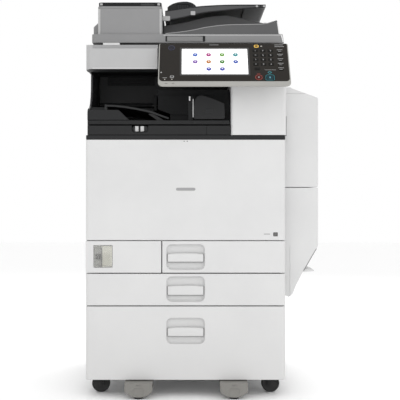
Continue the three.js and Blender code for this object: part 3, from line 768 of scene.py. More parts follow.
def rail(name, x_web, x_lip, z, y0, y1, body):
    """A drawer rail of folded sheet, open towards x_lip."""
    t = 1.2 if x_lip > x_web else -1.2
    section = [(x_web, z - 14), (x_lip, z - 14), (x_lip, z - 11), (x_lip - t, z - 11), (x_lip - t, z - 12.8),
               (x_web + t, z - 12.8), (x_web + t, z + 12.8), (x_lip - t, z + 12.8), (x_lip - t, z + 11),
               (x_lip, z + 11), (x_lip, z + 14), (x_web, z + 14)]
    solid(name, "y", section, y0, y1, STEEL, body, 0.2)


def paper_stack(name, x0, x1, y0, y1, z0, z1, body):
    """Sheets of paper: the edges step in and out by parts of a millimetre."""
    rings = []
    layers = max(3, int((z1 - z0) / 5))
    for i in range(layers + 1):
        z = z0 + (z1 - z0) * i / layers
        slip = 0.35 * math.sin(i * 2.3)
        rings.append([spot(x, y, z) for x, y in oblong(x0 + slip, x1 + slip, y0 - slip, y1 - slip)])
    add_on(loft(name, rings, PAPER), body, 0.15)


def side_fence(name, x, lean, y0, y1, z0, z1, body):
    """A paper guide with a foot and ribs."""
    wall = block("wall", x - 1.5, x + 1.5, y0, y1, z0, z1)
    foot = block("foot", min(x, x + lean * 22), max(x, x + lean * 22), y0 + 8, y1 - 8, z0, z0 + 3)
    parts = [wall, foot]
    for i in range(4):
        y = y0 + 14 + i * (y1 - y0 - 28) / 3
        parts.append(prism("rib", "y", [(x, z0), (x + lean * 18, z0), (x, z1 - 6)], y - 1.2, y + 1.2))
    piece = joined(name, parts)
    piece.data.materials[0] = GUIDE_GREEN
    add_on(piece, body, 0.3)


def make_paper_bay(tag, left, right, y0, y1, floor, top, body):
    """A lift plate, a stack of paper, its two side fences and its end stop, between left and right."""
    half = min(297, right - left - 40) / 2
    centre = (left + right) / 2
    depth = min(297 if half < 125 else 420, y1 - y0 - 60)
    paper_y = y0 + 34
    lift = block(f"{tag}_lift_plate", centre - half + 4, centre + half - 4, y0 + 16, y1 - 12,
                 floor, floor + 1.5, STEEL)
    holes = [prism("cutter", "z", capsule(x - 6, x + 6, y, y + 34), floor - 1, floor + 3)
             for x in (centre - 60, centre, centre + 60) for y in (y0 + 60, y0 + 200)]
    add_on(carve(lift, *holes), body, 0.3)
    paper_stack(f"{tag}_paper", centre - half, centre + half, paper_y, paper_y + depth,
                floor + 1.7, top, body)
    for side, lean in (("left", -1), ("right", 1)):
        side_fence(f"{tag}_fence_{side}", centre + lean * (half + 2), lean, paper_y + 40,
                   paper_y + depth - 60, floor, top + 4, body)
    slab(f"{tag}_end_stop", centre - 22, centre + 22, paper_y + depth + 1.5, paper_y + depth + 4.5,
         floor, top + 3, GUIDE_GREEN, body, 0.5)


def make_drawer_inside(number):
    """The pan with its rails; drawer 3 holds two stacks of paper side by side."""
    node = f"drawer_{number}_pan"
    body = NODE_BODY[node]
    x0, x1, y0, y1, z0, z1 = local_box(node)
    stand_for(soften(bare(node), 0.8), node)
    middle = (z0 + z1) / 2
    rail(f"drawer_{number}_rail_left", x0 - 1, x0 - 8, middle, 30, y1 - 8, body)
    rail(f"drawer_{number}_rail_right", x1 + 1, x1 + 8, middle, 30, y1 - 8, body)
    bays = ((x0 + 8, 14), (26, x1 - 8)) if number == 3 else ((x0 + 8, x1 - 8),)
    top = z1 - (30 if number == 3 else 14)
    for i, (left, right) in enumerate(bays):
        make_paper_bay(f"drawer_{number}_{i}", left, right, y0, y1, z0 + 4.3, top, body)


# ---------------------------------------------------------------- left front cover and main switch


def make_switch():
    node = "left_front_cover"
    body = NODE_BODY[node]
    x0, x1, _, _, z0, z1 = local_box("switch_cover")
    cover = bare(node)
    flare = ((-2, 2.5), (0, 1.8), (0.8, 0.9), (2.2, 0.45), (6, 0.45))
    carve(cover, flared("cutter", (x0, x1, z0, z1), flare, 2, 4, bend=1))
    stand_for(soften(cover, 1.0), node)
    housing = block("switch_housing", x0 + 1.5, x0 + 20.5, 7, 15.6, z0 + 7, z1 - 8, LABEL_GREY)
    well = prism("cutter", "y", rounded(x0 + 3.8, x0 + 19.2, 401, 421, 1), 3, 14)
    add_on(carve(housing, well), body, 0.4)
    backing = rounded(x0 + 22, x1 - 1.5, z0 + 2, z1 - 2, 1.5)
    # The beige backing glows faintly: painted light.
    plate("switch_backing", backing, 13.6, 15.6, BEIGE_PAINTED_GLOW, body, width=0.4)
    plate("switch_rib", rounded(x0 + 20.8, x0 + 23, z0 + 2, z1 - 8, 0.5), 6, 15.6, GREY, body, width=0.3)
    stand_for(soften(bare("power_switch"), 0.5), "power_switch")
    flap = bare("switch_cover")
    lip = [(0.7, z0 + 1), (-0.9, z0 + 3), (-0.9, z0 + 5), (0.7, z0 + 9)]
    pull = prism("pull", "x", lip, x0 + 14, x1 - 14)
    stand_for(soften(fuse(flap, pull), 0.4), "switch_cover")


# ---------------------------------------------------------------- base


def tyre_profile(half):
    """A wheel's cross section: a rounded tread, a stepped side on both faces and a bore."""
    side = [(25.6, half - 0.8), (24, half), (21, half - 1), (18, half - 2.2), (9, half - 2.2),
            (7.5, half), (4.4, half)]
    outer = [(26.7, -half + 2.4), (27, -half + 5), (27, half - 5), (26.7, half - 2.4)]
    mirrored = [(radius, -along) for radius, along in reversed(side)]
    return [*mirrored[4:], *outer, *side, *mirrored[:5]]


def make_caster(name):
    wheel, fork = f"{name}_wheel", f"{name}_fork"
    x0, x1, y0, y1, z0, z1 = local_box(wheel)
    cx, cy, cz = (x0 + x1) / 2, (y0 + y1) / 2, (z0 + z1) / 2
    profile = tyre_profile((y1 - y0) / 2)
    tread = lathe(f"{wheel}_tyre", profile, spot(cx, cy, cz), (0, -1, 0), BLACK, 48, closed=True)
    smooth(stand_for(tread, wheel), 35)
    bare_fork = bare(fork)
    for i, side in enumerate((-1, 1)):
        profile = [(5.5, -0.5), (5.5, 1.2), (4.2, 2.1), (0, 2.4)]
        pin = lathe(f"{name}_pin_{i}", profile, spot(cx, cy + side * 15.8, cz), (0, side, 0), BLACK, 24)
        add_on(pin, NODE_BODY[fork], 0)
    stand_for(soften(bare_fork, 0.8), fork)


def make_stabiliser(name):
    """A moulded foot block: straight sides, a tapered bottom, a sunk middle and two screw wells."""
    x0, x1, *_ = local_box(name)
    cx = (x0 + x1) / 2
    half = (x1 - x0) / 2
    top = 47
    outline = [(cx - half, top), (cx - half, 27), *arc(cx - half + 9, 26, 9, 180, 236, 5),
               (cx - 17, 7.5), *curve_points((cx - 17, 7.5), (cx, 4.6), (cx + 17, 7.5), 6),
               *arc(cx + half - 9, 26, 9, -56, 0, 5), (cx + half, 27), (cx + half, top)]
    shell = prism(f"{name}_shell", "y", outline, -36, 60, WARM_GREY)
    neck = block("neck", cx - 24, cx + 24, 26, 59.5, 46, 65.5, WARM_GREY)
    pad = [(0, 0.05), (12, 0.05), (13, 1.5), (13, 7), (0, 9)]
    foot = lathe(f"{name}_foot", pad, spot(cx, -20, 0), (0, 0, 1), BLACK)
    sunk = flared("cutter", (cx - 15, cx + 15, 12, 33), ((-40, 1.6), (-35.6, 0.4), (-34.9, -0.6)), 6, 5)
    well = [(0, -3), (1.9, -3), (1.9, 4), (0, 4)]
    wells = [lathe("cutter", well, spot(cx + dx, -35, 41), (0, -1, 0), DARK, 16) for dx in (-3.6, 3.6)]
    carve(shell, sunk, *wells)
    stand_for(soften(fuse(shell, neck), 2.4, 4, 40), name)
    add_on(foot, NODE_BODY[name], 0)
    for tag, ear in (("left", cx - (half - 3)), ("right", cx + (half - 3))):
        outline = [(ear - 2.6, 38), (ear + 2.6, 38), (ear + 2.2, 48.5), (ear - 2.2, 48.5)]
        solid(f"{name}_ear_{tag}", "y", outline, -37, -34, WARM_GREY, NODE_BODY[name], 0.8)


def make_base():
    for name in ("caster_front_left", "caster_front_right", "caster_rear_left", "caster_rear_right"):
        make_caster(name)
    for name in ("stabiliser_left", "stabiliser_right"):
        make_stabiliser(name)
    stand_for(soften(bare("base_plate"), 0.6), "base_plate")
    beams = [block("beam", x - 9, x + 9, 40, 560, 58, 65.6, STEEL) for x in (-180, 180)]
    beams += [block("beam", -270, 270, y - 8, y + 8, 60, 65.6, STEEL) for y in (120, 480)]
    add_on(joined("base_beams", beams), "machine", 0.5)


# ---------------------------------------------------------------- output space and finisher


def make_output_space():
    """The dark liner with its louvres, cove, ledge, post and rim, over the top deck."""
    _, _, _, wall, _, ceiling = local_box("output_liner")
    wall -= 6.2
    left, right = -285, local_box("front_pillar")[0] - 2
    liner = stand_for(soften(bare("output_liner"), 0.8), "output_liner")
    liner.data.materials[0] = LINER
    stand_for(soften(bare("top_deck"), 1.0), "top_deck")
    recess = prism("louvre_frame", "y", rounded(-259, -104, 954, 984, 2), wall - 5, wall, DARK)
    carve(recess, prism("cutter", "y", rounded(-254, -109, 958, 980, 1.5), wall - 8, wall - 1))
    add_on(recess, "machine", 0.5)
    blades = []
    for z in (960, 965, 970, 975):
        section = [(wall - 4.5, z), (wall - 4.5, z + 1.2), (wall - 1, z + 3.6), (wall - 1, z + 2.4)]
        blades.append(prism("slat", "x", section, -253.8, -109.2, DARK_LIGHTER))
    add_on(joined("louvre_blades", blades), "machine", 0.2)
    cove = [(wall, ceiling - 6), (wall - 6, ceiling), (wall, ceiling)]
    solid("ceiling_cove", "x", cove, left, right, DARK, "machine", 0.3)
    ledge = [(wall, 880), (wall - 16, 884), (wall - 18, 890), (wall - 14, 896), (wall, 897)]
    solid("rear_ledge", "x", ledge, left, -95, DARK_LIGHTER, "machine", 1.0)
    solid("exit_post", "z", rounded(-95, -86, 60, wall - 1, 2), 846, 892, FINISHER_DARK, "machine", 0.6)
    solid("liner_rim", "y", oblong(-289.5, -285, 845, 848.5), 28, 46, DARK_LIGHTER, "machine", 0.8)


def make_tray():
    """The finisher's tray: a thin sheet with a rolled front edge over a dark hollow, and a solid left end."""
    node = "output_tray"
    _, _, _, y1, z0, _ = local_box(node)
    line = smooth_line([(-236, 859), (-214, 859), (-168, 854), (-108, 842), (-72, 829.5), (-50, 822)], 5)
    sheet = prism(f"{node}_sheet", "y", band(line, 0, -3.6), 26, y1, TRAY_DARK)
    lip = prism("lip", "y", band(line, 0.8, -5), 22.5, 29, TRAY_DARK)
    stand_for(soften(fuse(sheet, lip), 0.9, 3), node)
    end = [(-289, z0), (-166, z0), (-190, 837), (-198, 843.5), (-284, 843.5), (-289, 839)]
    solid("tray_end", "y", end, 4, 250, TRAY_BLOCK, "machine", 1.4)
    solid("tray_wall", "y", oblong(-286, -238, 843, 856.5), 60, y1, DARK, "machine", 1.5)
    strut = [(-112, 834), (-98, 836), (-62, z0 + 0.5), (-84, z0 + 0.5)]
    solid("tray_strut", "y", strut, 30, 42, TRAY_DARK, "machine", 0.8)
    slab("tray_hollow_back", -190, -60, 120, 124, z0, 818, DARK, "machine", 0.5)
    tab = [(-241, 845), (-232.5, 845), (-233.5, 860), (-236.5, 863.5), (-240, 861.5)]
    solid("tray_stop", "y", tab, 30, 34, DARK_LIGHTER, "machine", 0.7)
    ribs = [prism("rib", "y", band(line[2:-3], 1.6, -0.4), y, y + 4, TRAY_DARK)
            for y in range(60, int(y1) - 20, 42)]
    add_on(joined("tray_ribs", ribs), "machine", 0.5)


def make_finisher_body():
    node = "finisher_body"
    _, right, _, y1, _, z1 = local_box(node)
    upper = [(-82, 848), (-60, 839), (-40, 832), (right, 832), (right, 888), (-82, 888)]
    face = prism(f"{node}_upper", "y", upper, 31, y1, FINISHER_DARK)
    brow = prism("brow", "y", oblong(-84, right, 888, z1), 36, y1, FINISHER_DARK)
    low = block("low", -46, right, 36, y1, 813, 834, FINISHER_DARK)
    slot = block("cutter", -100, -30, 60, y1 - 20, 853, 870)
    stand_for(soften(carve(fuse(face, brow, low), slot), 1.2), node)
    sill = rounded(-289, right, 5, 40, [4, 0, 0, 0])
    solid("finisher_sill", "z", sill, 800.5, 812.6, TRAY_BLOCK, "machine", 1.0)
    solid("finisher_channel", "y", rounded(8, 22, 815, 886, 1), 30.3, 31.5, DARK, "machine", 0.3)
    solid("finisher_flag", "y", rounded(10, 14.2, 872, 885, 1), 22, 24, PAPER, "machine", 0.4)
    rollers = [roller(spot(x, 76, 862), (1, 0, 0), 7, 8) for x in (-72, -52, -32)]
    rollers.append(shaft(spot(-52, 76, 862), (1, 0, 0), 2.5, 50))
    add_on(joined("exit_rollers", rollers), "machine", 0)


def make_stapler_cover():
    node = "stapler_cover"
    x0, x1, y0, y1, _, _ = local_box(node)
    dome = [*arc(x0 + 4, 820, 4, 180, 270, 4), *arc(x1 - 7, 823, 7, 270, 350, 5), (x1 - 2.5, 862),
            *curve_points((x1 - 2.5, 862), (x0 + 50, 881), (x0 + 22, 886.5), 8),
            *curve_points((x0 + 22, 886.5), (x0 + 3, 885), (x0, 858), 8)]
    stand_for(soften(prism(f"{node}_shell", "y", dome, y0, y1, STAPLER), 1.1, 3), node)
    # A bright strip beside the cover's left edge: a painted highlight.
    solid("stapler_side_highlight", "y", capsule(x0 - 3, x0 - 0.8, 822, 876), 7, 18, STAPLER_EDGE_HIGHLIGHT, "machine", 0.7)
    latch = rounded(x0 + 34, x0 + 58, 834, 846, 3)
    solid("stapler_latch", "y", latch, y0 - 0.8, y0 + 1, DARK, "machine", 0.5)


def make_finisher_cover():
    """The dark flap under the tray, with a notch, its two-part grip mark and three screws above it."""
    node = "finisher_cover"
    x0, x1, y0, y1, z0, z1 = local_box(node)
    cover = prism(f"{node}_panel", "z", rounded(x0, x1, y0, y1, [6, 2, 0, 0]), z0, z1, STAPLER)
    notch = prism("cutter", "y", rounded(-158, -110, 777, 805, [9, 9, 0, 0], 6), -6, 30)
    seam_line = prism("cutter", "y", oblong(60.6, 62, z0 - 2, z1 + 2), -6, 3.4)
    stand_for(soften(carve(cover, notch, seam_line), 0.8), node)
    rings = []
    for depth, g in ((11.5, 0), (8.4, 0.4)):
        outline = rounded(-157.5 + g, -110.5 - g, 777.5 + g, 796, 8, 6)
        rings.append([spot(a, depth, b) for a, b in outline])
    add_on(loft("grip_scallop", rings, DARK), node, 0.4)
    for i, x in enumerate((-143.6, -127.6)):
        plate(f"grip_mark_{i}", rounded(x - 5, x + 5, 780, 795.5, 1.2), 7.6, 8.6, GRIP_MARK, node)
    arrow = [*arc(-135.5, 792, 19, 205, 335, 12), *reversed(arc(-135.5, 792, 17.4, 205, 335, 12))]
    plate("grip_arc", [(a, b) for a, b in arrow if b > 771.5], 1.4, 2.3, DARK, node, width=0.1)
    for i, x in enumerate((-250, 20, 110)):
        screws(f"finisher_screw_{i}", [(x, 806.5)], lambda a, b, d: spot(a, 5 + d, b), DARK, 1.8)


def make_finisher():
    make_finisher_body()
    make_stapler_cover()
    make_finisher_cover()


def make_pillar():
    node = "front_pillar"
    x0, x1, *_ = local_box(node)
    piece = bare(node)
    carve(piece, prism("cutter", "y", oblong(x0 - 5, x1 + 5, 920.4, 921.6), -3, 1))
    stand_for(soften(piece, 1.6), node)


# ---------------------------------------------------------------- scanner and document feeder


def paint_shade_below(piece):
    """Gives the faces that look down the dark plastic's colour, as painted shade on their undersides."""
    piece.data.materials.append(DARK)
    for face in piece.data.polygons:
        if face.normal.z < -0.7:
            face.material_index = len(piece.data.materials) - 1


def make_scanner_front():
    node = "scanner_front_cover"
    x0, x1, _, y1, z0, z1 = local_box(node)
    profile = [(y1, z0), (3, z0), *arc(3, z0 + 3, 3, 270, 180, 4), (0, z1 - 12.6), (1.2, z1 - 11.6),
               (10, z1 - 1.2), (13, z1), (y1, z1)]
    body = prism(f"{node}_shell", "x", profile, x0, x1, SILVER)
    plan = prism("plan", "z", rounded(x0, x1, -1, y1, [20, 3, 0, 0], 10), z0 - 2, z1 + 2)
    boolean(body, [plan], "INTERSECT")
    # The cover's downward faces get the dark colour as painted shade.
    paint_shade_below(body)
    stand_for(soften(body, 0.7, 3, 30), node)
    left, right = x0 + 20, x1 - 3.5
    # The sloped brow in a darker copy of the cover's silver: painted shade.
    brow = [(0.6, z1 - 11.8), (9.6, z1 - 1.6), (9.2, z1 - 1.1), (-0.1, z1 - 11.6)]
    solid("scanner_brow", "x", brow, left + 1, right, SILVER_DARK_SHADE_AND_BADGE, "machine", 0)
    slab("scanner_base_line", left, right, -0.35, 1, z0 + 1.6, z0 + 4.6, SILVER_LIGHT, "machine", 0.5)


def make_platen():
    """The glass with its scales, the slit glass beside it and the carriage under it."""
    x0, x1, y0, y1, _, z1 = local_box("platen_glass")
    stand_for(soften(bare("platen_glass"), 0.4), "platen_glass")
    scales = (("front", x0, x1, y0 - 9, y0), ("rear", x0, x1, y1, y1 + 9),
              ("left", x0 - 8, x0, y0 - 9, y1 + 9), ("right", x1, x1 + 8, y0 - 9, y1 + 9))
    for tag, a0, a1, b0, b1 in scales:
        slab(f"platen_scale_{tag}", a0 - 0.1, a1 + 0.1, b0, b1, z1 - 1, z1 + 0.9, LABEL_GREY, "machine", 0.3)
    ticks = []
    for i in range(1, int((x1 - x0) / 20)):
        near = y1 + (1 if i % 5 == 0 else 4)
        tick = x0 + 20 * i
        ticks.append(block("tick", tick, tick + 0.7, near, y1 + 8, z1 + 0.8, z1 + 1.0, DARK))
    add_on(joined("platen_ticks", ticks), "machine", 0)
    slab("slit_glass", x0 - 34, x0 - 14, y0 + 4, y1 - 4, z1 - 1, z1 + 0.8, GLASS, "machine", 0.3)
    carriage = [block("carriage", -236, -176, 128, 414, 1003, 1013, DARK),
                block("lamp", -230, -222, 132, 410, 1013, 1015, DARK)]
    add_on(joined("scan_carriage", carriage), "machine", 0.5)


def make_scanner():
    stand_for(soften(bare("scanner_housing"), 1.2), "scanner_housing")
    make_scanner_front()
    make_platen()


LID_LEFT, LID_SLAB_RIGHT, LID_FRONT, LID_BACK = local_box("feeder_base")[:4]
LID_RIGHT = LID_SLAB_RIGHT + 2.4        # the moulded end flares a little past the flat-sided slab
LID_BOTTOM, LID_TOP = 1046, 1071
LID_SLOPE = 5                           # how far the right end leans in over the lid's height


def make_lid_slab():
    """The platen cover with its lifting grip."""
    node = "feeder_base"
    outline = [(LID_LEFT + 1.5, LID_BOTTOM), (LID_RIGHT - 1, LID_BOTTOM), (LID_RIGHT, LID_BOTTOM + 1.5),
               (LID_RIGHT - LID_SLOPE, LID_TOP), (LID_LEFT, LID_TOP), (LID_LEFT, LID_BOTTOM + 1.5)]
    lid = prism(f"{node}_lid", "y", outline, LID_FRONT, LID_BACK, LID_GREY)
    corners = rounded(LID_LEFT, LID_RIGHT, LID_FRONT, LID_BACK, [10, 14, 5, 5], 8)
    plan = prism("plan", "z", corners, LID_BOTTOM - 2, LID_TOP + 2)
    boolean(lid, [plan], "INTERSECT")
    grip = prism("cutter", "y", rounded(-60, 58.5, 1048.6, 1065.8, 2.5), LID_FRONT - 3, LID_FRONT + 12)
    carve(lid, grip)
    stand_for(soften(lid, 1.6, 4), node)
    sections = ((LID_FRONT + 10, 0), (LID_FRONT + 1.2, 0), (LID_FRONT + 0.4, -1))
    insert = flared("lid_grip", (-55.5, 51, 1049.4, 1065), sections, 2, 5, material=GRIP_GREY)
    add_on(insert, "feeder", 0)
    for tag, a0, a1 in (("left", -59.5, -56.5), ("right", 52, 58)):
        slab(f"lid_grip_end_{tag}", a0, a1, LID_FRONT + 0.7, LID_FRONT + 10, 1049, 1065.4, DARK,
             "feeder", 0.4)
    # A light strip along the lid's top front edge: a painted highlight.
    top_line = [(LID_FRONT - 0.35, LID_TOP - 4.2), (LID_FRONT + 2, LID_TOP - 4.2),
                (LID_FRONT + 2, LID_TOP + 0.2), (LID_FRONT + 0.3, LID_TOP + 0.2)]
    solid("lid_top_line", "x", top_line, -66, LID_RIGHT - LID_SLOPE - 2, LID_EDGE_HIGHLIGHT, "feeder", 0.5)
    pad = rounded(-232, 202, 116, 426, 6)
    solid("document_pad", "z", pad, 1037.6, LID_BOTTOM + 0.2, PAPER, "feeder", 1.2)
    slab("feeder_glass_guide", -246, -196, 34, 60, 1038, LID_BOTTOM + 0.3, PAPER, "feeder", 1.0)


def make_exit_tray():
    """The tray that rises to the right on the lid, its light front edge, near-white painted highlights on its and
    the lid's right ends, and its ribs.
    """
    rise = smooth_line([(-60, 1074), (-28, 1077), (20, 1084), (64, 1093), (120, 1099.5), (180, 1101),
                        (232, 1102.5), (258, 1109), (270, 1113.4)], 5)
    outline = [(278, LID_TOP - 0.5), (-60, LID_TOP - 0.5), *rise, (272.6, 1112)]
    solid("exit_tray", "y", outline, 35, 560, EXIT_GREY, "feeder", 1.6)
    solid("exit_tray_edge", "y", band(rise[:-4], 0.5, -1.8), 34.2, 40, EXIT_LIGHT, "feeder", 0.4)
    # Near-white strips on the exit tray's right end and on the lid's right end: painted highlights.
    end = [(271.4, 1108), (275, 1107.5), (281.2, LID_TOP + 0.5), (277, LID_TOP + 0.5)]
    solid("exit_tray_end", "y", end, 34, 556, END_HIGHLIGHT_WHITE, "feeder", 0.5)
    lean = LID_RIGHT - LID_SLOPE
    highlight_outline = [(LID_RIGHT - 6, LID_BOTTOM + 2), (LID_RIGHT - 2.2, LID_BOTTOM + 2), (lean - 1.6, LID_TOP - 3),
            (lean - 5.4, LID_TOP - 3)]
    solid("lid_end_highlight", "y", highlight_outline, LID_FRONT - 0.4, LID_FRONT + 3, END_HIGHLIGHT_WHITE, "feeder", 0.3)
    ribs = [prism("rib", "y", band(rise[3:-8], 1.8, -0.5), y, y + 4, EXIT_GREY) for y in range(150, 440, 40)]
    add_on(joined("exit_tray_ribs", ribs), "feeder", 0.6)


def make_fences():
    """The two upright walls that carry the document tray over the exit tray."""
    outline = [(-69, LID_TOP), (238, 1094), (243, 1118.5),
               *curve_points((243, 1118.5), (180, 1132), (124, 1144), 5),
               *curve_points((124, 1144), (60, 1141), (0, 1122), 6), (-69, 1111)]
    cap = rounded(238.6, 247.5, 1104, 1120.5, 1.5)
    for tag, y in (("front", 112), ("rear", 450)):
        solid(f"feeder_fence_{tag}", "y", outline, y, y + 8, FENCE_GREY, "feeder", 1.4)
        solid(f"feeder_fence_cap_{tag}", "y", cap, y - 1.5, y + 9.5, EXIT_LIGHT, "feeder", 0.8)


def make_lid():
    make_lid_slab()
    make_exit_tray()
    make_fences()


FEEDER_LEFT = -262
FEEDER_RADIUS = 13              # corner radius of the feeder's body, seen from above


def make_feeder_body():
    node = "feeder_body"
    _, x1, _, _, z0, z1 = local_box(node)
    radii = [FEEDER_RADIUS, FEEDER_RADIUS, 8, 8]
    outline = rounded(FEEDER_LEFT, x1, 40, 500, radii, 10)
    shell = prism(f"{node}_shell", "z", outline, z0, z1 - 0.3, FEEDER_GREY)
    carve(shell, block("cutter", -230, x1 + 5, 100, 470, 1082, 1147))
    lip = prism("cutter", "z", rounded(FEEDER_LEFT - 5, x1 + 5, 30, 510, 2), z1 - 6.6, z1 - 5.6)
    inner = rounded(FEEDER_LEFT + 1, x1 - 1, 41, 499, FEEDER_RADIUS - 1, 10)
    keep = prism("keep", "z", inner, z1 - 7, z1 - 5)
    carve(shell, carve(lip, keep))
    stand_for(soften(shell, 1.3, 3), node)
    # Light strips on the two rounded front corners: painted highlights.
    sides = (("left", FEEDER_LEFT + FEEDER_RADIUS, 182), ("right", x1 - FEEDER_RADIUS, 294))
    for tag, middle, start in sides:
        centre = (middle, 40 + FEEDER_RADIUS)
        outside = arc(*centre, FEEDER_RADIUS + 0.3, start, start + 64)
        inside = arc(*centre, FEEDER_RADIUS - 0.6, start, start + 64)
        corner = [*outside, *reversed(inside)]
        solid(f"feeder_corner_{tag}", "z", corner, z0 + 1, z1 - 8, LID_EDGE_HIGHLIGHT, "feeder", 0.1)
    bulge = [(FEEDER_LEFT + 0.5, 1072), (FEEDER_LEFT + 0.5, 1114), (-277.5, 1099), (-277.5, 1072)]
    solid("feeder_hinge_cover", "y", bulge, 70, 480, LID_GREY, "feeder", 1.6)


def make_feed_cover():
    """The dark lid over the feed path, dished on top, with painted highlights at both ends and a latch on its
    front.
    """
    node = "feed_cover"
    x0, x1, y0, y1, z0, z1 = local_box(node)
    top = prism(f"{node}_shell", "z", rounded(x0, x1, y0, y1, [11, 11, 8, 8], 10), z0, z1, COVER_GREY)
    sections = ((z1 + 2, 1.5), (z1 + 0.2, 0.6), (z1 - 1.2, -0.8), (z1 - 2, -3))
    carve(top, flared("cutter", (x0 + 20, x1 - 20, y0 + 40, y1 - 40), sections, 14, 6, spot))
    stand_for(soften(top, 2.2, 4), node)
    # Light grey blocks at both ends of the front: painted highlights on the rounded corners.
    for tag, a in (("left", x0 + 4.5), ("right", x1 - 12.5)):
        slab(f"feed_cover_end_highlight_{tag}", a, a + 8, y0 - 0.3, y0 + 3, z0 + 2.6, z1 - 2.6, LABEL_GREY, node, 0.8)
    latch = rounded(x1 - 62, x1 - 22, z0 + 2, z0 + 8, 2)
    solid("feed_cover_latch", "y", latch, y0 - 0.6, y0 + 4, DARK_LIGHTER, node, 0.5)


def make_feeder():
    make_feeder_body()
    make_feed_cover()
    rollers = [roller(spot(-86, y, 1132), (0, 1, 0), 9, 9) for y in (170, 200, 340, 370)]
    rollers.append(shaft(spot(-86, 284, 1132), (0, 1, 0), 3, 178))
    add_on(joined("feed_rollers", rollers), "feeder", 0)


def make_document_guide(guide):
    """A sheet guide that widens to a hump, with a finger dish and grip ridges on its front."""
    _, _, y0, y1, _, z1 = local_box(guide)
    outline = [(-56, 1149.5), (-30, 1153.5), (31, 1161.5), (31.5, 1172),
               *curve_points((31.5, 1172), (24, 1184.5), (2, z1 - 0.3), 7),
               *curve_points((2, z1 - 0.3), (-38, 1187), (-56, 1169), 8)]
    hump = prism(f"{guide}_wing", "y", outline, y0, y1, DARK)
    sections = ((y0 - 2, 1.4), (y0 + 0.3, 0.6), (y0 + 1.8, -1.4))
    finger = flared("cutter", (-30, 14, 1164, 1178), sections, 6, 5)
    stand_for(soften(carve(hump, finger), 1.8, 4), guide)
    ridges = [prism("ridge", "y", rounded(a, a + 2.5, 1165.5, 1176.5, 1), y0 + 0.4, y0 + 2, DARK_LIGHTER)
              for a in range(-24, 11, 7)]
    add_on(joined(f"{guide}_ridges", ridges), guide, 0.3)


def make_original_tray():
    node = "original_tray"
    _, _, y0, y1, _, _ = local_box(node)
    low = smooth_line([(-62, 1118), (-10, 1127), (52, 1141), (123, 1149), (182, 1154.5), (238, 1157)], 5)
    high = smooth_line([(-62, 1147), (-30, 1152), (30, 1160), (120, 1165.5), (241, 1166)], 5)
    tray = prism(f"{node}_shell", "y", [*low, (241, 1158.5), *reversed(high)], y0, y1, TRAY_SIDE)
    under = smooth_line([(-50, 1137), (-30, 1146), (30, 1154), (120, 1160), (176, 1160.5)], 4)
    carve(tray, prism("cutter", "y", [(-50, 1090), *under, (176, 1090)], y0 + 10, y1 - 10))
    stand_for(soften(tray, 1.6, 4), node)
    solid("tray_top_edge", "y", band(high, 0.4, -2.6), y0 - 0.7, y0 + 3, COVER_GREY, node, 0.5)
    solid("tray_under_edge", "y", band(low, 2.4, -0.2), y0 - 0.7, y0 + 3, DARK, node, 0.4)
    places = [y for y in range(int(y0) + 32, int(y1) - 20, 28) if not 100 < y < 140 and not 400 < y < 440]
    ribs = [prism("rib", "y", band(high[8:], 1.1, -0.6), y, y + 2.5, COVER_GREY) for y in places]
    add_on(joined("tray_top_ribs", ribs), node, 0.3)
    left_mark = rounded(-69.5, -47, 1117.5, 1131.5, 2.5)
    solid("tray_light_left", "y", left_mark, y0 - 2, y0 + 8, LABEL_GREY, node, 0.8)
    connector = rounded(15, 29, 1134.5, 1146.5, 2)
    solid("tray_connector", "y", connector, y0 - 1.6, y0 + 4, LABEL_GREY, node, 0.8)
    for i, material in enumerate((LABEL_GREY, DARK, LABEL_GREY)):
        a = 211 + 11 * i
        outline = rounded(a, a + 6.5, 1158.6, 1164, 1)
        solid(f"tray_end_lamp_{i}", "y", outline, y0 - 1, y0 + 3, material, node, 0.4)
    arrow = [(40, 262), (70, 262), (70, 254), (86, 270), (70, 286), (70, 278), (40, 278)]
    solid("tray_arrow", "z", arrow, 1164.4, 1165.4, LABEL_GREY, node, 0.1)
    for guide in ("guide_front", "guide_back"):
        make_document_guide(guide)


# ---------------------------------------------------------------- operation panel

JOINTS = {joint["name"]: joint for joint in frame["joints"]}
PANEL_OUT = -Vector(JOINTS["start_button_press"]["axis"]).normalized()
PANEL_UP = PANEL_OUT.cross(Vector((1, 0, 0)))
SCREEN_MIDDLE = (Vector(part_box("touch_screen")[0]) + Vector(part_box("touch_screen")[1])) / 2
SCREEN = (-122, 69, -40, 62)                 # left, right, bottom and top of the screen's pocket
SCREEN_DEPTH = 1.5                           # the middle of the display lies this far below the face
FACE_HALF_WIDTH = 189
FACE_HALF_HEIGHT = 83.5
WELL_FLOOR = -4.1                            # underside of the keys, above the housing at full travel
START, STOP, HOME = (130, -53), (98, -52), (-152, 65)
PRINT = (-0.05, 0.15)                        # bottom and top of a printed mark, out of the face


def panel_spot(a, b, out):
    """A point in panel millimetres: right of and above the middle of the face, and out of it."""
    across = a - (SCREEN[0] + SCREEN[1]) / 2
    above = b - (SCREEN[2] + SCREEN[3]) / 2
    middle = SCREEN_MIDDLE + Vector((across * MM, 0, 0))
    return middle + PANEL_UP * above * MM + PANEL_OUT * (out + SCREEN_DEPTH) * MM


def tile(name, outline, low, high, material, body="panel", width=0.2):
    """A flat raised piece on the panel's face."""
    return add_on(prism(name, "z", outline, low, high, material, panel_spot), body, width)


def well(outline, low=-7, high=3):
    """A cutter straight into the panel's face."""
    return prism("cutter", "z", outline, low, high, place=panel_spot)


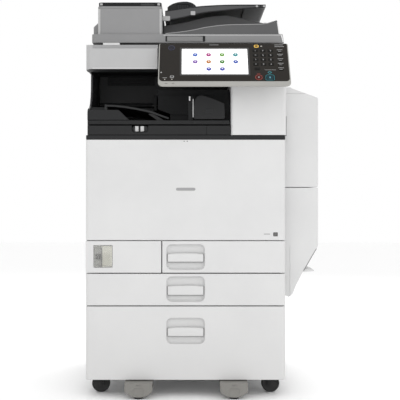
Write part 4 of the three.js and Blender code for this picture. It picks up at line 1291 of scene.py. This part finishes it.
def button(name, node, centre, radius, material, dish=0.5):
    """A round key with a dished top, in the well of the face."""
    profile = [(0, WELL_FLOOR), (radius, WELL_FLOOR), (radius, 0.5), (radius - 0.3, 0.9), (radius - 1, 1.1),
               (radius * 0.7, 1.1 - dish * 0.5), (radius * 0.35, 1.1 - dish), (0, 1.1 - dish)]
    cap = lathe(name, profile, panel_spot(*centre, 0), PANEL_OUT, material, 40)
    return stand_for(smooth(cap, 40), node)


def ring(name, centre, inner, outer, low, high, material):
    """A raised ring round a key."""
    profile = [(inner, low), (outer, low), (outer, high), ((inner + outer) / 2, high + 0.15), (inner, high),
               (inner, low)]
    piece = lathe(name, profile, panel_spot(*centre, 0), PANEL_OUT, material, 40, closed=True)
    add_on(smooth(piece, 40), "panel", 0)


def hinge_place(a):
    """The panel's hinge line, a panel millimetres right of the middle of its face."""
    position = Vector(JOINTS["panel_tilt"]["pos_m"])
    return Vector((panel_spot(a, 0, 0).x, position.y, position.z))


def key_places():
    """Middle and half sizes of each key cap of the keypad."""
    places = [(92 + 22 * column, 53 - 18 * row, 7, 5) for row in range(4) for column in range(3)]
    places.append((95, 53 - 18 * 4, 7, 5))
    places += [(163, 50 - 18 * row, 6, 4) for row in range(5)]
    return places


# How the housing's outline narrows, and its lower edge rises, at each distance out of the face.
HOUSING_SECTIONS = ((0, -1.2, 0), (-0.5, -0.4, 0), (-1.6, 0, 0), (-5, 0, 0), (-16, -1, 13), (-30, -3, 27),
                    (-34, -7, 33))


def make_panel_shell():
    node = "panel_housing"
    sections = []
    for out, grow, drop in HOUSING_SECTIONS:
        bottom = -FACE_HALF_HEIGHT + drop - grow * 0.5
        top = FACE_HALF_HEIGHT + grow - drop * 0.3
        outline = rounded(-FACE_HALF_WIDTH - grow, FACE_HALF_WIDTH + grow, bottom, top, [14, 14, 6, 6], 8)
        sections.append([panel_spot(a, b, out) for a, b in outline])
    shell = loft(f"{node}_shell", sections, BEZEL)
    carve(shell, well(rounded(-186, 186, -67.3, 82.6, [11, 11, 4.5, 4.5], 8), -5.5, 4))
    barrel = [(0, -40), (8, -40), (8, 40), (0, 40)]
    knuckle = lathe("knuckle", barrel, hinge_place(100), (1, 0, 0), BEZEL, 24)
    arm = prism("arm", "x", [(6, 968), (34, 980), (28, 960), (20, 952)], 176, 246, BEZEL)
    carve(shell, *[well(capsule(a - 4, a + 4, -76.5, -74.3), -3, 4) for a in (-166, -146)])
    stand_for(soften(shell, 0.5, 3, 30), node)
    add_on(knuckle, "panel", 0.8)
    add_on(arm, "panel", 1.2)


def make_panel_face():
    """The black face with its wells for the screen, the side lamp and the keys, and the screen's border."""
    outline = rounded(-185.7, 185.7, -67, 82.4, [10.7, 10.7, 4.3, 4.3], 8)
    face = prism("panel_face_plate", "z", outline, -5.2, 0, PANEL_BLACK, panel_spot)
    holes = [well(rounded(*SCREEN, 1.5)), well(capsule(-182, -179, -24, 63), -0.8)]
    keys = ((START, 11.4), (STOP, 8.9), (HOME, 8.4))
    holes += [well(disc_points(*centre, radius)) for centre, radius in keys]
    for a, b, half_a, half_b in key_places():
        wide, high = half_a + 0.5, half_b + 0.5
        holes.append(well(rounded(a - wide, a + wide, b - high, b + high, 1.5, 3)))
    carve(face, *holes)
    add_on(face, "panel", 0.35)
    left, right, bottom, top = SCREEN
    border = (left - 5, right + 5, bottom - 5, top + 4)
    strip = flared("screen_frame", border, ((0.15, 0), (0.35, -0.5)), 3, 4, panel_spot, BLACK_GLOSS, bend=1)
    carve(strip, well(rounded(*SCREEN, 1.5)))
    add_on(strip, "panel", 0)


# Digits are drawn as strokes on a grid 2 wide and 4 high, each a line through grid points.
DIGITS = {
    "1": [[(1, 0), (1, 4)], [(0.4, 3.2), (1, 4)]],
    "2": [[(0, 4), (2, 4), (2, 2), (0, 2), (0, 0), (2, 0)]],
    "3": [[(0, 4), (2, 4), (2, 0)], [(0.5, 2), (2, 2)], [(0, 0), (2, 0)]],
    "4": [[(0, 4), (0, 2), (2, 2)], [(2, 4), (2, 0)]],
    "5": [[(2, 4), (0, 4), (0, 2), (2, 2), (2, 0), (0, 0)]],
    "6": [[(2, 4), (0, 4), (0, 0), (2, 0), (2, 2), (0, 2)]],
    "7": [[(0, 4), (2, 4), (0.8, 0)]],
    "8": [[(0, 4), (2, 4), (2, 0), (0, 0), (0, 4)], [(0, 2), (2, 2)]],
    "9": [[(2, 2), (0, 2), (0, 4), (2, 4), (2, 0), (0, 0)]],
    "0": [[(0, 4), (2, 4), (2, 0), (0, 0), (0, 4)]],
    "*": [[(0, 1.2), (2, 2.8)], [(0, 2.8), (2, 1.2)], [(1, 0.8), (1, 3.2)]],
    "#": [[(0.5, 0.6), (0.7, 3.4)], [(1.3, 0.6), (1.5, 3.4)], [(0, 1.4), (2, 1.4)], [(0, 2.6), (2, 2.6)]],
}


def stroke(start, end, low, high, material, half=0.4):
    """A narrow bar from start to end in panel millimetres."""
    along = Vector((end[0] - start[0], end[1] - start[1])).normalized()
    across = Vector((-along.y, along.x)) * half
    first, last = Vector(start) - along * half, Vector(end) + along * half
    outline = [first - across, last - across, last + across, first + across]
    return prism("stroke", "z", [(p.x, p.y) for p in outline], low, high, material, panel_spot)


def make_keypad():
    """The keypad mat with its caps."""
    caps = []
    for a, b, half_a, half_b in key_places():
        box = (a - half_a, a + half_a, b - half_b, b + half_b)
        sections = ((-2.3, 0), (0.5, 0), (0.85, -0.35), (1.0, -0.9))
        caps.append(flared("cap", box, sections, 1.6, 4, panel_spot, KEY_DARK))
    mat = prism("mat", "z", rounded(82.5, 173.5, -27.5, 61.5, 3), WELL_FLOOR, -2.2, KEY_DARK, panel_spot)
    pad = joined("keypad_caps", [mat, *caps])
    stand_for(smooth(pad, 50), "keypad")


def make_key_marks():
    """Digits on the number keys, and bars in place of words beside the others."""
    marks = []
    for sign, (a, b, *_) in zip("123456789*0#", key_places()):
        for line in DIGITS[sign]:
            points = [(a - 1.1 + x * 1.1, b - 2.2 + y * 1.1) for x, y in line]
            marks += [stroke(start, end, 0.9, 1.12, KEY_MARK) for start, end in zip(points, points[1:])]
    add_on(joined("keypad_digits", marks), "keypad", 0)
    captions = []
    for row in range(5):
        b = 50 - 18 * row + 7
        captions.append(stroke((156, b), (171, b), -0.05, 0.14, KEY_MARK, 0.7))
        captions.append(stroke((159, b - 7), (167, b - 7), 1.0, 1.12, KEY_MARK, 0.6))
    for left, right, b, half in ((116, 148, -23, 0.4), (150, 174, 77, 0.7), (150, 176, 70, 0.7)):
        captions.append(stroke((left, b), (right, b), -0.05, 0.14, KEY_MARK, half))
    add_on(joined("panel_captions", captions), "panel", 0)


def make_panel_lamps():
    tile("status_lamp", rounded(89, 103, 66, 77, 4), -0.3, 0.9, MAIN_LAMP, width=0.5)
    tile("status_lamp_bar", capsule(91.5, 100.5, 69, 74), 0.8, 1.15, PANEL_BLACK, width=0.1)
    ring("home_ring", HOME, 8.3, 9.8, -0.2, 0.4, RING_BLUE)
    button("home_cap", "home_button", HOME, 8, MATERIAL_OF_SLOT["home_key"])
    for i, a in enumerate((-170, -149.5)):
        tile(f"data_lamp_{i}", disc_points(a, -60, 1.8, 20), -0.2, 0.5, LAMP_DIM, width=0.15)
        half = 6.5 - i
        tile(f"data_caption_{i}", capsule(a - half, a + half, -54.4, -53.2), *PRINT, KEY_MARK, width=0)
    tile("slot_mark", rounded(-155, -144, -51.5, -45.5, 1), *PRINT, KEY_MARK, width=0)
    tile("slot_mark_middle", rounded(-153.6, -145.4, -50.3, -46.7, 0.6), 0.1, 0.2, PANEL_BLACK, width=0)
    tile("contrast_mark", disc_points(-180.5, -33, 2.2, 20), *PRINT, KEY_MARK, width=0)
    tile("side_lamp", rounded(108, 113, 70, 73.5, 1), -0.05, 0.2, LAMP_DIM, width=0.1)


def diamond(a, b, half_a, half_b):
    return [(a, b + half_b), (a + half_a, b), (a, b - half_b), (a - half_a, b)]


def make_start_and_stop():
    """The start key in its lit frame with a diamond above it, and the stop key in its ring."""
    button("start_cap", "start_button", START, 10.9, MATERIAL_OF_SLOT["start_key"])
    frame_outline = rounded(115.5, 144.5, -66, -40.5, [5, 5, 9, 9], 6)
    collar = prism("start_collar", "z", frame_outline, -0.3, 0.9, KEY_DARK, panel_spot)
    carve(collar, well(disc_points(*START, 11.3, 40), -3))
    add_on(collar, "panel", 0.4)
    light_outline = rounded(117, 143, -64.6, -42, [4, 4, 8, 8], 6)
    light = prism("start_light", "z", light_outline, 0.5, 1.05, TEAL_RING, panel_spot)
    carve(light, well(rounded(118.2, 141.8, -63.4, -43.2, [3, 3, 7, 7], 6), -3))
    add_on(light, "panel", 0)
    tile("start_sign", diamond(130, -33, 6.5, 6), -0.05, 0.3, TEAL_RING, width=0.1)
    tile("start_sign_middle", diamond(130, -33, 3.6, 3.4), 0.2, 0.4, PANEL_BLACK, width=0)
    tile("start_bar", rounded(128.2, 131.8, -56, -50, 1.2), 0.4, 1.0, START_LIGHT, "start_button", 0.1)
    ring("stop_ring", STOP, 8.8, 10.4, -0.2, 0.5, RED_RING)
    button("stop_cap", "stop_button", STOP, 8.4, MATERIAL_OF_SLOT["stop_key"])
    tile("stop_sign", diamond(*STOP, 2.8, 2.8), 0.4, 0.9, LABEL_GREY, "stop_button", 0.1)
    tile("stop_caption", capsule(93, 103, -37.8, -36.8), *PRINT, RED_RING, width=0)


ICON_COLUMNS = (-83, -44, -5, 34)
ICON_ROWS = (38, 10, -18.5)
# Each icon's column, row and colour.
ICONS = [(0, 0, (0.10, 0.22, 0.80)), (1, 0, (0.66, 0.06, 0.36)), (2, 0, (0.25, 0.58, 0.08)),
         (3, 0, (0.05, 0.42, 0.46)), (0, 1, (0.36, 0.16, 0.66)), (1, 1, (0.86, 0.34, 0.10)),
         (2, 1, (0.10, 0.38, 0.05)), (3, 1, (0.12, 0.20, 0.72)), (1, 2, (0.10, 0.12, 0.66)),
         (2, 2, (0.10, 0.12, 0.66))]


def make_screen():
    """The display with its round icons, and a bar in place of each icon's name."""
    node = "touch_screen"
    left, right, bottom, top = SCREEN
    outline = rounded(left + 0.3, right - 0.3, bottom + 0.3, top - 0.3, 1.2)
    display = prism(f"{node}_display", "z", outline, -5, -0.9, MATERIAL_OF_SLOT["screen"], panel_spot)
    stand_for(soften(display, 0.15, 2), node)
    captions = []
    dome = [(7.3, -0.95), (7.3, -0.75), (6.6, -0.55), (4.4, -0.45), (4.2, -0.6), (0, -0.6)]
    for number, (column, row, tint) in enumerate(ICONS):
        a, b = ICON_COLUMNS[column], ICON_ROWS[row]
        material = lit(f"icon_{number}", (*[0.5 * c for c in tint], 1.0), 0.08, 0.02)
        add_on(lathe(f"icon_{number}", dome, panel_spot(a, b, 0), PANEL_OUT, material, 32), "panel", 0)
        bar = rounded(a - 1.9, a + 1.9, b + 1.4, b + 3.2, 0.8)
        sign = disc_points(a, b + 2, 1.4, 16) if row == 1 else bar
        tile(f"icon_{number}_sign", sign, -0.62, -0.42, SCREEN_LIGHT, width=0)
        half = 9 + 1.5 * (number * 7 % 3)
        captions.append(stroke((a - half, b - 11.6), (a + half, b - 11.6), -0.95, -0.8, SCREEN_TEXT, 0.8))
    captions.append(stroke((-28, 54), (-22, 54), -0.95, -0.8, SCREEN_TEXT, 0.8))
    add_on(joined("screen_captions", captions), "panel", 0)
    tile("panel_badge", capsule(-42, -14, 75.4, 78.6), -0.05, 0.3, BADGE_DARK, width=0.1)


def make_panel():
    make_panel_shell()
    make_panel_face()
    make_screen()
    make_keypad()
    make_key_marks()
    make_panel_lamps()
    make_start_and_stop()


# ---------------------------------------------------------------- right side: duplex door, bypass tray


def make_duplex_door():
    """The upper door, hollow behind, with a flared pocket for the bypass tray, guides and rollers."""
    node = "duplex_door"
    x0, x1, y0, y1, z0, z1 = local_box(node)
    outer = [(x0, z0), (x1 - 2, z0), (x1, z0 + 2), (x1, 880), *arc(x1 - 9, 880, 9, 0, 42, 4), (374, 894),
             (318, z1 - 9), *arc(313, z1 - 13, 7, 62, 100, 3), (x0, z1 - 6)]
    shell = prism(f"{node}_shell", "y", outer, y0, y1)
    inside = [(x0 - 5, 626), (372, 626), (372, 880), (312, 908), (x0 - 5, 908)]
    hollow = prism("cutter", "y", inside, y0 + 6, y1 - 6)
    sections = ((x1 - 12, 0), (x1 - 2.5, 0), (x1 - 0.8, 0.8), (x1 + 2, 1.6))
    pocket = flared("cutter", (104, 478, 644, 874), sections, 8, 6, AXIS_PLACES["x"], bend=1)
    face_line = prism("cutter", "x", oblong(y0 - 3, y0 + 1.4, 897.2, 898.6), x0 - 3, x1 + 3)
    carve(shell, hollow, pocket, face_line)
    stand_for(soften(shell, 1.8, 4), node)
    guides = [block("guide", 310, 328, y, y + 3, 640, 890, DARK) for y in range(84, 500, 44)]
    add_on(joined("duplex_guides", guides), node, 0.4)
    for i, z in enumerate((668, 760, 852)):
        rollers = [roller(spot(318, y, z), (0, 1, 0), 8, 12, 0.6) for y in (150, 240, 340, 430)]
        rollers.append(shaft(spot(318, 291, z), (0, 1, 0), 3, 205))
        add_on(joined(f"duplex_rollers_{i}", rollers), node, 0)
    latch = rounded(x0 + 1, x0 + 5, 770, 830, 1)
    solid("duplex_latch", "y", latch, y0 - 1.2, y0 + 2, GREY, node, 0.5)


def make_bypass_tray():
    """The folded tray in the door: a finger grip and a shallow inset outside, ribs and fences inside."""
    node = "bypass_tray"
    x0, x1, y0, y1, z0, z1 = local_box(node)
    tray = prism(f"{node}_shell", "x", rounded(y0, y1, z0, z1, 6), x0, x1)
    rings = []
    for x, g in ((x1 - 3.6, -5), (x1 - 3.2, -2.5), (x1 - 2, -0.6), (x1 - 0.4, 0.6), (x1 + 2, 1.2)):
        outline = rounded(250 - g, 332 + g, 846 - g, z1 + 6, 8 + g, 6)
        rings.append([spot(x, a, b) for a, b in outline])
    grip = loft("cutter", rings)
    inset = prism("cutter", "x", rounded(y0 + 16, y1 - 16, z0 + 14, z1 - 40, 6), x1 - 0.8, x1 + 2)
    carve(tray, grip, inset)
    stand_for(soften(tray, 1.2, 3), node)
    ribs = [prism("rib", "x", rounded(y, y + 3, z0 + 12, z1 - 16, 1), x0 - 1.6, x0 + 0.6, DARK_LIGHTER)
            for y in range(int(y0) + 30, int(y1) - 20, 34)]
    add_on(joined("bypass_ribs", ribs), node, 0.3)
    for tag, y in (("front", 200), ("rear", 382)):
        fence = rounded(y - 2, y + 2, z0 + 14, z0 + 96, 1.5)
        solid(f"bypass_fence_{tag}", "x", fence, x0 - 2.6, x0 + 0.5, GUIDE_GREEN, node, 0.4)


def make_right_lower_door():
    """The lower door narrows downwards; a short lever and a grey strip of painted shade along its slanted edge
    stand on its front.
    """
    node = "right_lower_door"
    x0, x1, y0, y1, z0, z1 = local_box(node)
    outer = [(x0, z0 + 4.5), (306, z0 + 1.5), *arc(309, z0 + 7, 7, 260, 318, 4), (322, 297), (331, 320),
             (351, 361), (x1 - 5, 430), *arc(x1 - 14, 444, 14, -30, 0, 4), (x1, z1), (x0, z1)]
    shell = prism(f"{node}_shell", "y", outer, y0, y1)
    inside = [(x0 - 5, 312), (314, 312), (343, 368), (386, 444), (386, 606), (x0 - 5, 606)]
    hollow = prism("cutter", "y", inside, y0 + 6, y1 - 6)
    seam_line = prism("cutter", "z", oblong(x0 + 14, x0 + 15.6, y0 - 3, y0 + 1.4), z0 - 3, 441)
    carve(shell, hollow, seam_line)
    stand_for(soften(shell, 1.6, 4), node)
    lever = [(340, 361), (386, 363.4), (387.2, 366), (384, 369.4), (352, 370), (342, 366.5)]
    solid("right_unit_lever", "y", lever, y0 + 4, y0 + 120, WHITE, node, 1.0)
    # A grey strip along the slanted edge: painted shade.
    edge = [(353.2, 365.6), (355, 364.4), (394, 431.6), (392.4, 432.8)]
    solid("right_unit_slant_shade", "y", edge, y0 - 0.3, y0 + 1, GREY, node, 0.2)


# ---------------------------------------------------------------- covers


def hand_recess(cover, side, box):
    """A recess to lift the machine by, flared at its rim."""
    sections = ((-2, 1.5), (0, 1), (1.2, 0), (5, -1), (6.4, -4))
    carve(cover, flared("cutter", box, sections, 12, 6, side))


def make_left_cover():
    left = bare("left_cover")
    groove(left, left_side, 18, 590, 457.8, 459.2)
    groove(left, left_side, 300, 301.4, 459, 760)
    hand_recess(left, left_side, (70, 180, 300, 338))
    grille(left, "left_fan_grille", left_side, 400, 540, 560, 700, 14)
    grille(left, "left_low_grille", left_side, 380, 540, 96, 180, 8)
    grille(left, "left_high_grille", left_side, 390, 550, 830, 900, 7)
    stand_for(soften(left, 1.6, 3), "left_cover")
    places = [(34, 80), (34, 440), (560, 80), (560, 440), (560, 740), (34, 740), (560, 940), (352, 940)]
    screws("left_cover_screws", places, left_side, sunk=1.2)
    plate("left_label", rounded(430, 530, 480, 530, 3), -0.25, 0.3, PAPER, "machine", left_side, 0.1)


def make_right_cover():
    right = bare("right_cover")
    groove(right, right_side, 18, 590, 640, 641.4)
    grille(right, "right_low_grille", right_side, 380, 545, 90, 200, 9)
    hand_recess(right, right_side, (90, 200, 180, 222))
    stand_for(soften(right, 1.6, 3), "right_cover")
    places = [(34, 80), (560, 80), (560, 240), (34, 740), (566, 740), (566, 940), (250, 940)]
    screws("right_cover_screws", places, right_side)
    for i, z in enumerate((150, 126)):
        plug = disc_points(320, z, 7, 24)
        plate(f"right_plug_{i}", plug, -0.8, 0.4, LABEL_GREY, "machine", right_side, 0.5)


def back_plate(name, outline, depth0, depth1, material, width):
    """A plate on the machine's back."""
    plate(name, outline, depth0, depth1, material, "machine", back_side, width)


# Left, bottom, width and height of each socket on the port panel.
PORTS = ((112, 566, 17, 15), (140, 566, 17, 15), (168, 570, 14, 7), (190, 566, 10, 12),
         (112, 532, 30, 12), (154, 532, 14, 7), (176, 532, 14, 7))


def make_ports():
    """A panel of sockets with two blank covers under them."""
    back_plate("port_panel", rounded(96.4, 235.6, 480.4, 599.6, 5), 4.6, 5.5, STEEL, 0.2)
    for i, (a, b, wide, high) in enumerate(PORTS):
        back_plate(f"port_{i}", rounded(a, a + wide, b, b + high, 1), 1.6, 5.2, STEEL, 0.3)
        mouth = rounded(a + 1.5, a + wide - 1.5, b + 1.5, b + high - 1.5, 0.6)
        back_plate(f"port_{i}_mouth", mouth, 1.3, 2.2, DARK, 0.1)
    for i, b in enumerate((490, 508)):
        back_plate(f"option_cover_{i}", rounded(104, 150, b, b + 14, 2), 3.4, 5.2, GREY, 0.5)


def make_power_inlet():
    """The inlet with its three pins, and the breaker beside it."""
    x0, x1, _, y1, z0, z1 = local_box("power_inlet")
    stand_for(soften(bare("power_inlet"), 0.5), "power_inlet")
    across, height = (x0 + x1) / 2, (z0 + z1) / 2
    for i, (dx, dz) in enumerate(((-6.5, -3), (0, 3.5), (6.5, -3))):
        x, z = across + dx, height + dz
        slab(f"inlet_pin_{i}", x - 1, x + 1, y1 - 6.8, y1 - 1.2, z - 2.6, z + 2.6, CHROME, "machine", 0.3)
    back_plate("breaker", rounded(x1 + 14, x1 + 34, z0 + 2, z1 - 2, 2), 0.2, 1, DARK, 0.6)
    back_plate("breaker_rocker", rounded(x1 + 18, x1 + 30, z0 + 5, z1 - 5, 1.5), 0, 0.6, DARK_LIGHTER, 0.7)


def make_rear():
    rear = bare("rear_cover")
    for z in (265.3, 640.3):
        groove(rear, back_side, -300, 300, z, z + 1.4)
    groove(rear, back_side, 60, 61.4, 266, 641)
    grille(rear, "rear_fan_grille", back_side, -250, -110, 690, 830, 14)
    grille(rear, "rear_duct_grille", back_side, 110, 250, 700, 780, 8)
    grille(rear, "rear_low_grille", back_side, 90, 250, 100, 190, 9)
    carve(rear, prism("cutter", "y", rounded(96, 236, 480, 600, 5), -2, 5.6, place=back_side))
    stand_for(soften(rear, 1.8, 3), "rear_cover")
    make_ports()
    places = [(a, b) for a in (-275, 0, 275) for b in (80, 250, 282, 625, 656, 945)]
    screws("rear_screws", places, back_side, sunk=1.2)
    back_plate("rating_plate", rounded(-160, -70, 150, 205, 2), -0.3, 0.3, SILVER_LIGHT, 0.1)
    for i in range(4):
        line = capsule(-152, -100 - 8 * (i % 2), 190 - 9 * i, 191.4 - 9 * i)
        back_plate(f"rating_line_{i}", line, -0.42, -0.2, LABEL_GREY, 0)
    back_plate("rear_cord_hook", rounded(-212, -196, 160, 190, 3), 0, 0.5, LABEL_GREY, 0.8)
    make_power_inlet()


def make_feeder_back():
    """The lid's two hinges, and the slotted cover of the feeder's motor."""
    hinges = [block("hinge", x - 26, x + 26, 556, 586, 1037, 1045.5, DARK) for x in (-190, 190)]
    add_on(joined("feeder_hinge_blocks", hinges), "machine", 2.0)
    barrel = [(0, -24), (3.6, -24), (4, -23), (4, 23), (3.6, 24), (0, 24)]
    barrels = [lathe("barrel", barrel, spot(x, 578, 1042), (1, 0, 0), STEEL, 20) for x in (-190, 190)]
    add_on(joined("feeder_hinge_pins", barrels), "machine", 0)
    cover = rounded(-250, -84, 496, 548, [2, 2, 10, 10], 6)
    solid("feeder_rear_motor_cover", "z", cover, 1071.3, 1150, FEEDER_GREY, "feeder", 1.6)
    slats = [prism("slat", "z", rounded(-238 + 9 * i, -233.5 + 9 * i, 546, 549.2, 1), 1090, 1130, DARK)
             for i in range(16)]
    add_on(joined("feeder_rear_slots", slats), "feeder", 0.3)


# ---------------------------------------------------------------- behind the doors


def make_frame():
    """Two pierced side frames with the drawers' fixed rails, two decks and drawer 1's upright."""
    for node in ("left_frame", "right_frame"):
        x0, x1, y0, _, _, z1 = local_box(node)
        sheet = bare(node)
        holes = [prism("cutter", "x", rounded(y, y + 70, z, z + 46, 10), x0 - 2, x1 + 2)
                 for y in (60, 190, 420) for z in (110, 480)]
        carve(sheet, *holes)
        stand_for(soften(sheet, 0.5), node)
        inward = 1 if node == "left_frame" else -1
        face = x1 if inward > 0 else x0
        for number, z in ((1, 403), (2, 317), (3, 170)):
            if number > 1 or inward < 0:
                rail(f"{node}_rail_{number}", face, face + inward * 5.6, z, 40, 500, "machine")
        near, far = sorted((face, face + inward * 3))
        slab(f"{node}_front_flange", near, far, y0, y0 + 3, 470, z1 - 4, STEEL, "machine", 0.3)
    for node in ("lower_shelf", "engine_deck"):
        stand_for(soften(bare(node), 0.6), node)
    pan_left = local_box("drawer_1_pan")[0]
    slab("drawer_1_upright", pan_left - 16, pan_left - 9, 40, 500, 372, 452, STEEL, "machine", 0.5)


def make_toner_bottle(node):
    """A ribbed bottle with a grip across its front, in a cradle."""
    x0, x1, y0, y1, z0, z1 = local_box(node)
    cx, cz, length = (x0 + x1) / 2, (z0 + z1) / 2, y1 - y0
    material = MATERIAL_OF_SLOT[SLOT_OF_NODE[node]]
    profile = [(0, 0), (20, 0), (24, 2), (24, 14), (26, 17), (33, 22)]
    along = 26
    while along < length - 24:
        profile += [(34, along), (34, along + 6), (31.5, along + 9), (31.5, along + 13)]
        along += 16
    profile += [(34, along), (34, length - 6), (30, length), (0, length)]
    bottle = lathe(f"{node}_body", profile, spot(cx, y0 + 8, cz), (0, 1, 0), material, 40)
    grip = block("grip", cx - 20, cx + 20, y0, y0 + 12, cz - 4, cz + 4, material)
    stand_for(soften(fuse(bottle, grip), 0.8), node)
    cradle = [(cx - 39, cz - 46), (cx + 39, cz - 46), (cx + 39, cz - 22), *arc(cx, cz, 36.5, -28, -152, 12),
              (cx - 39, cz - 22)]
    solid(f"{node}_cradle", "y", cradle, y0 + 26, 380, DARK, "machine", 1.0)


def make_engine():
    """What the open front door shows: toner bottles, transfer and fusing units and the waste bottle."""
    for colour_name in ("black", "cyan", "magenta", "yellow"):
        make_toner_bottle(f"toner_bottle_{colour_name}")
    stand_for(soften(bare("transfer_unit"), 1.2), "transfer_unit")
    face = rounded(-250, 138, 576, 630, 24)
    solid("transfer_face", "y", face, 37.5, 41, DARK_LIGHTER, "machine", 0.8)
    gear = [(0, 0), (12, 0), (13, 1), (13, 5), (6, 5), (6, 8), (0, 8)]
    for i in range(4):
        place = spot(90 * i - 210, 37.5, 603)
        add_on(lathe(f"drum_gear_{i}", gear, place, (0, -1, 0), GREY, 28), "machine", 0.3)
    stand_for(soften(bare("fusing_unit"), 1.2), "fusing_unit")
    solid("fusing_lever", "y", rounded(200, 210, 612, 646, 4), 30, 39.5, GUIDE_GREEN, "machine", 0.8)
    plate("fusing_tag", rounded(222, 256, 690, 712, 2), 39.4, 39.9, LAMP_DIM, "machine", width=0.1)
    waste = rounded(-262, 262, 484, 545, 8)
    solid("waste_toner_bottle", "y", waste, 40, 120, CLEAR_GREY, "machine", 3.0)
    cap = [(0, 0), (14, 0), (15, 1), (15, 8), (13, 10), (0, 10)]
    add_on(lathe("waste_cap", cap, spot(-200, 40, 515), (0, -1, 0), GREY, 28), "machine", 0.5)
    slab("engine_wall", -270, 270, 480, 484, 470, 752, STEEL, "machine", 0.5)


# ---------------------------------------------------------------- everything

make_front_door()
for drawer in (1, 2, 3):
    make_drawer_front(drawer)
    make_drawer_inside(drawer)
make_switch()
make_base()
make_output_space()
make_tray()
make_finisher()
make_pillar()
make_scanner()
make_lid()
make_feeder()
make_original_tray()
make_panel()
make_duplex_door()
make_bypass_tray()
make_right_lower_door()
make_left_cover()
make_right_cover()
make_rear()
make_feeder_back()
make_frame()
make_engine()

# ---------------------------------------------------------------- stage, light and camera


def make_stage():
    floor = block("floor", -9000, 9000, -9000, 9000, -6, 0, None)
    n = Nodes("floor")
    n.set(Base_Color=n.mix(n.maths("MULTIPLY", n.noise(2, 3), 0.04), colour(0.97), colour(0.95)))
    n.set(Roughness=n.spread(n.noise(30, 3), 0.75, 0.9))
    floor.data.materials[0] = n.material


def area_light(name, place, target, size, power, tint=(1, 1, 1)):
    data = bpy.data.lights.new(name, "AREA")
    data.shape = "RECTANGLE"
    data.size, data.size_y = size
    data.energy = power
    data.color = tint
    lamp = bpy.data.objects.new(name, data)
    lamp.location = place
    lamp.rotation_euler = (target - place).to_track_quat("-Z", "Y").to_euler()
    bpy.context.scene.collection.objects.link(lamp)


def make_light():
    world = bpy.data.worlds.new("studio")
    bpy.context.scene.world = world
    world.use_nodes = True
    background = world.node_tree.nodes["Background"]
    background.inputs["Color"].default_value = (1.0, 1.0, 1.0, 1.0)
    background.inputs["Strength"].default_value = 1.0
    aim = spot(0, 200, 600)
    area_light("key", spot(-900, -3200, 2300), aim, (2.2, 2.2), 12)
    area_light("low", spot(300, -3000, 250), spot(150, 0, 820), (2.4, 1.2), 14)
    area_light("fill", spot(2300, -1800, 1300), aim, (1.8, 2.4), 8)
    area_light("back", spot(400, 2600, 2400), aim, (2.5, 1.5), 30)
    bpy.context.scene.view_settings.view_transform = "Standard"


CAMERA_DISTANCE = 2600      # from the front covers
CAMERA_HEIGHT = 584
CAMERA_ASIDE = 13


def make_camera():
    data = bpy.data.cameras.new("camera")
    data.sensor_width = 36
    data.lens = 79.7
    data.shift_x = 0.025
    data.shift_y = -0.005
    camera = bpy.data.objects.new("camera", data)
    camera.location = spot(CAMERA_ASIDE, -CAMERA_DISTANCE, CAMERA_HEIGHT)
    camera.rotation_euler = (math.pi / 2, 0, 0)
    bpy.context.scene.collection.objects.link(camera)
    bpy.context.scene.camera = camera


make_stage()
make_light()
make_camera()
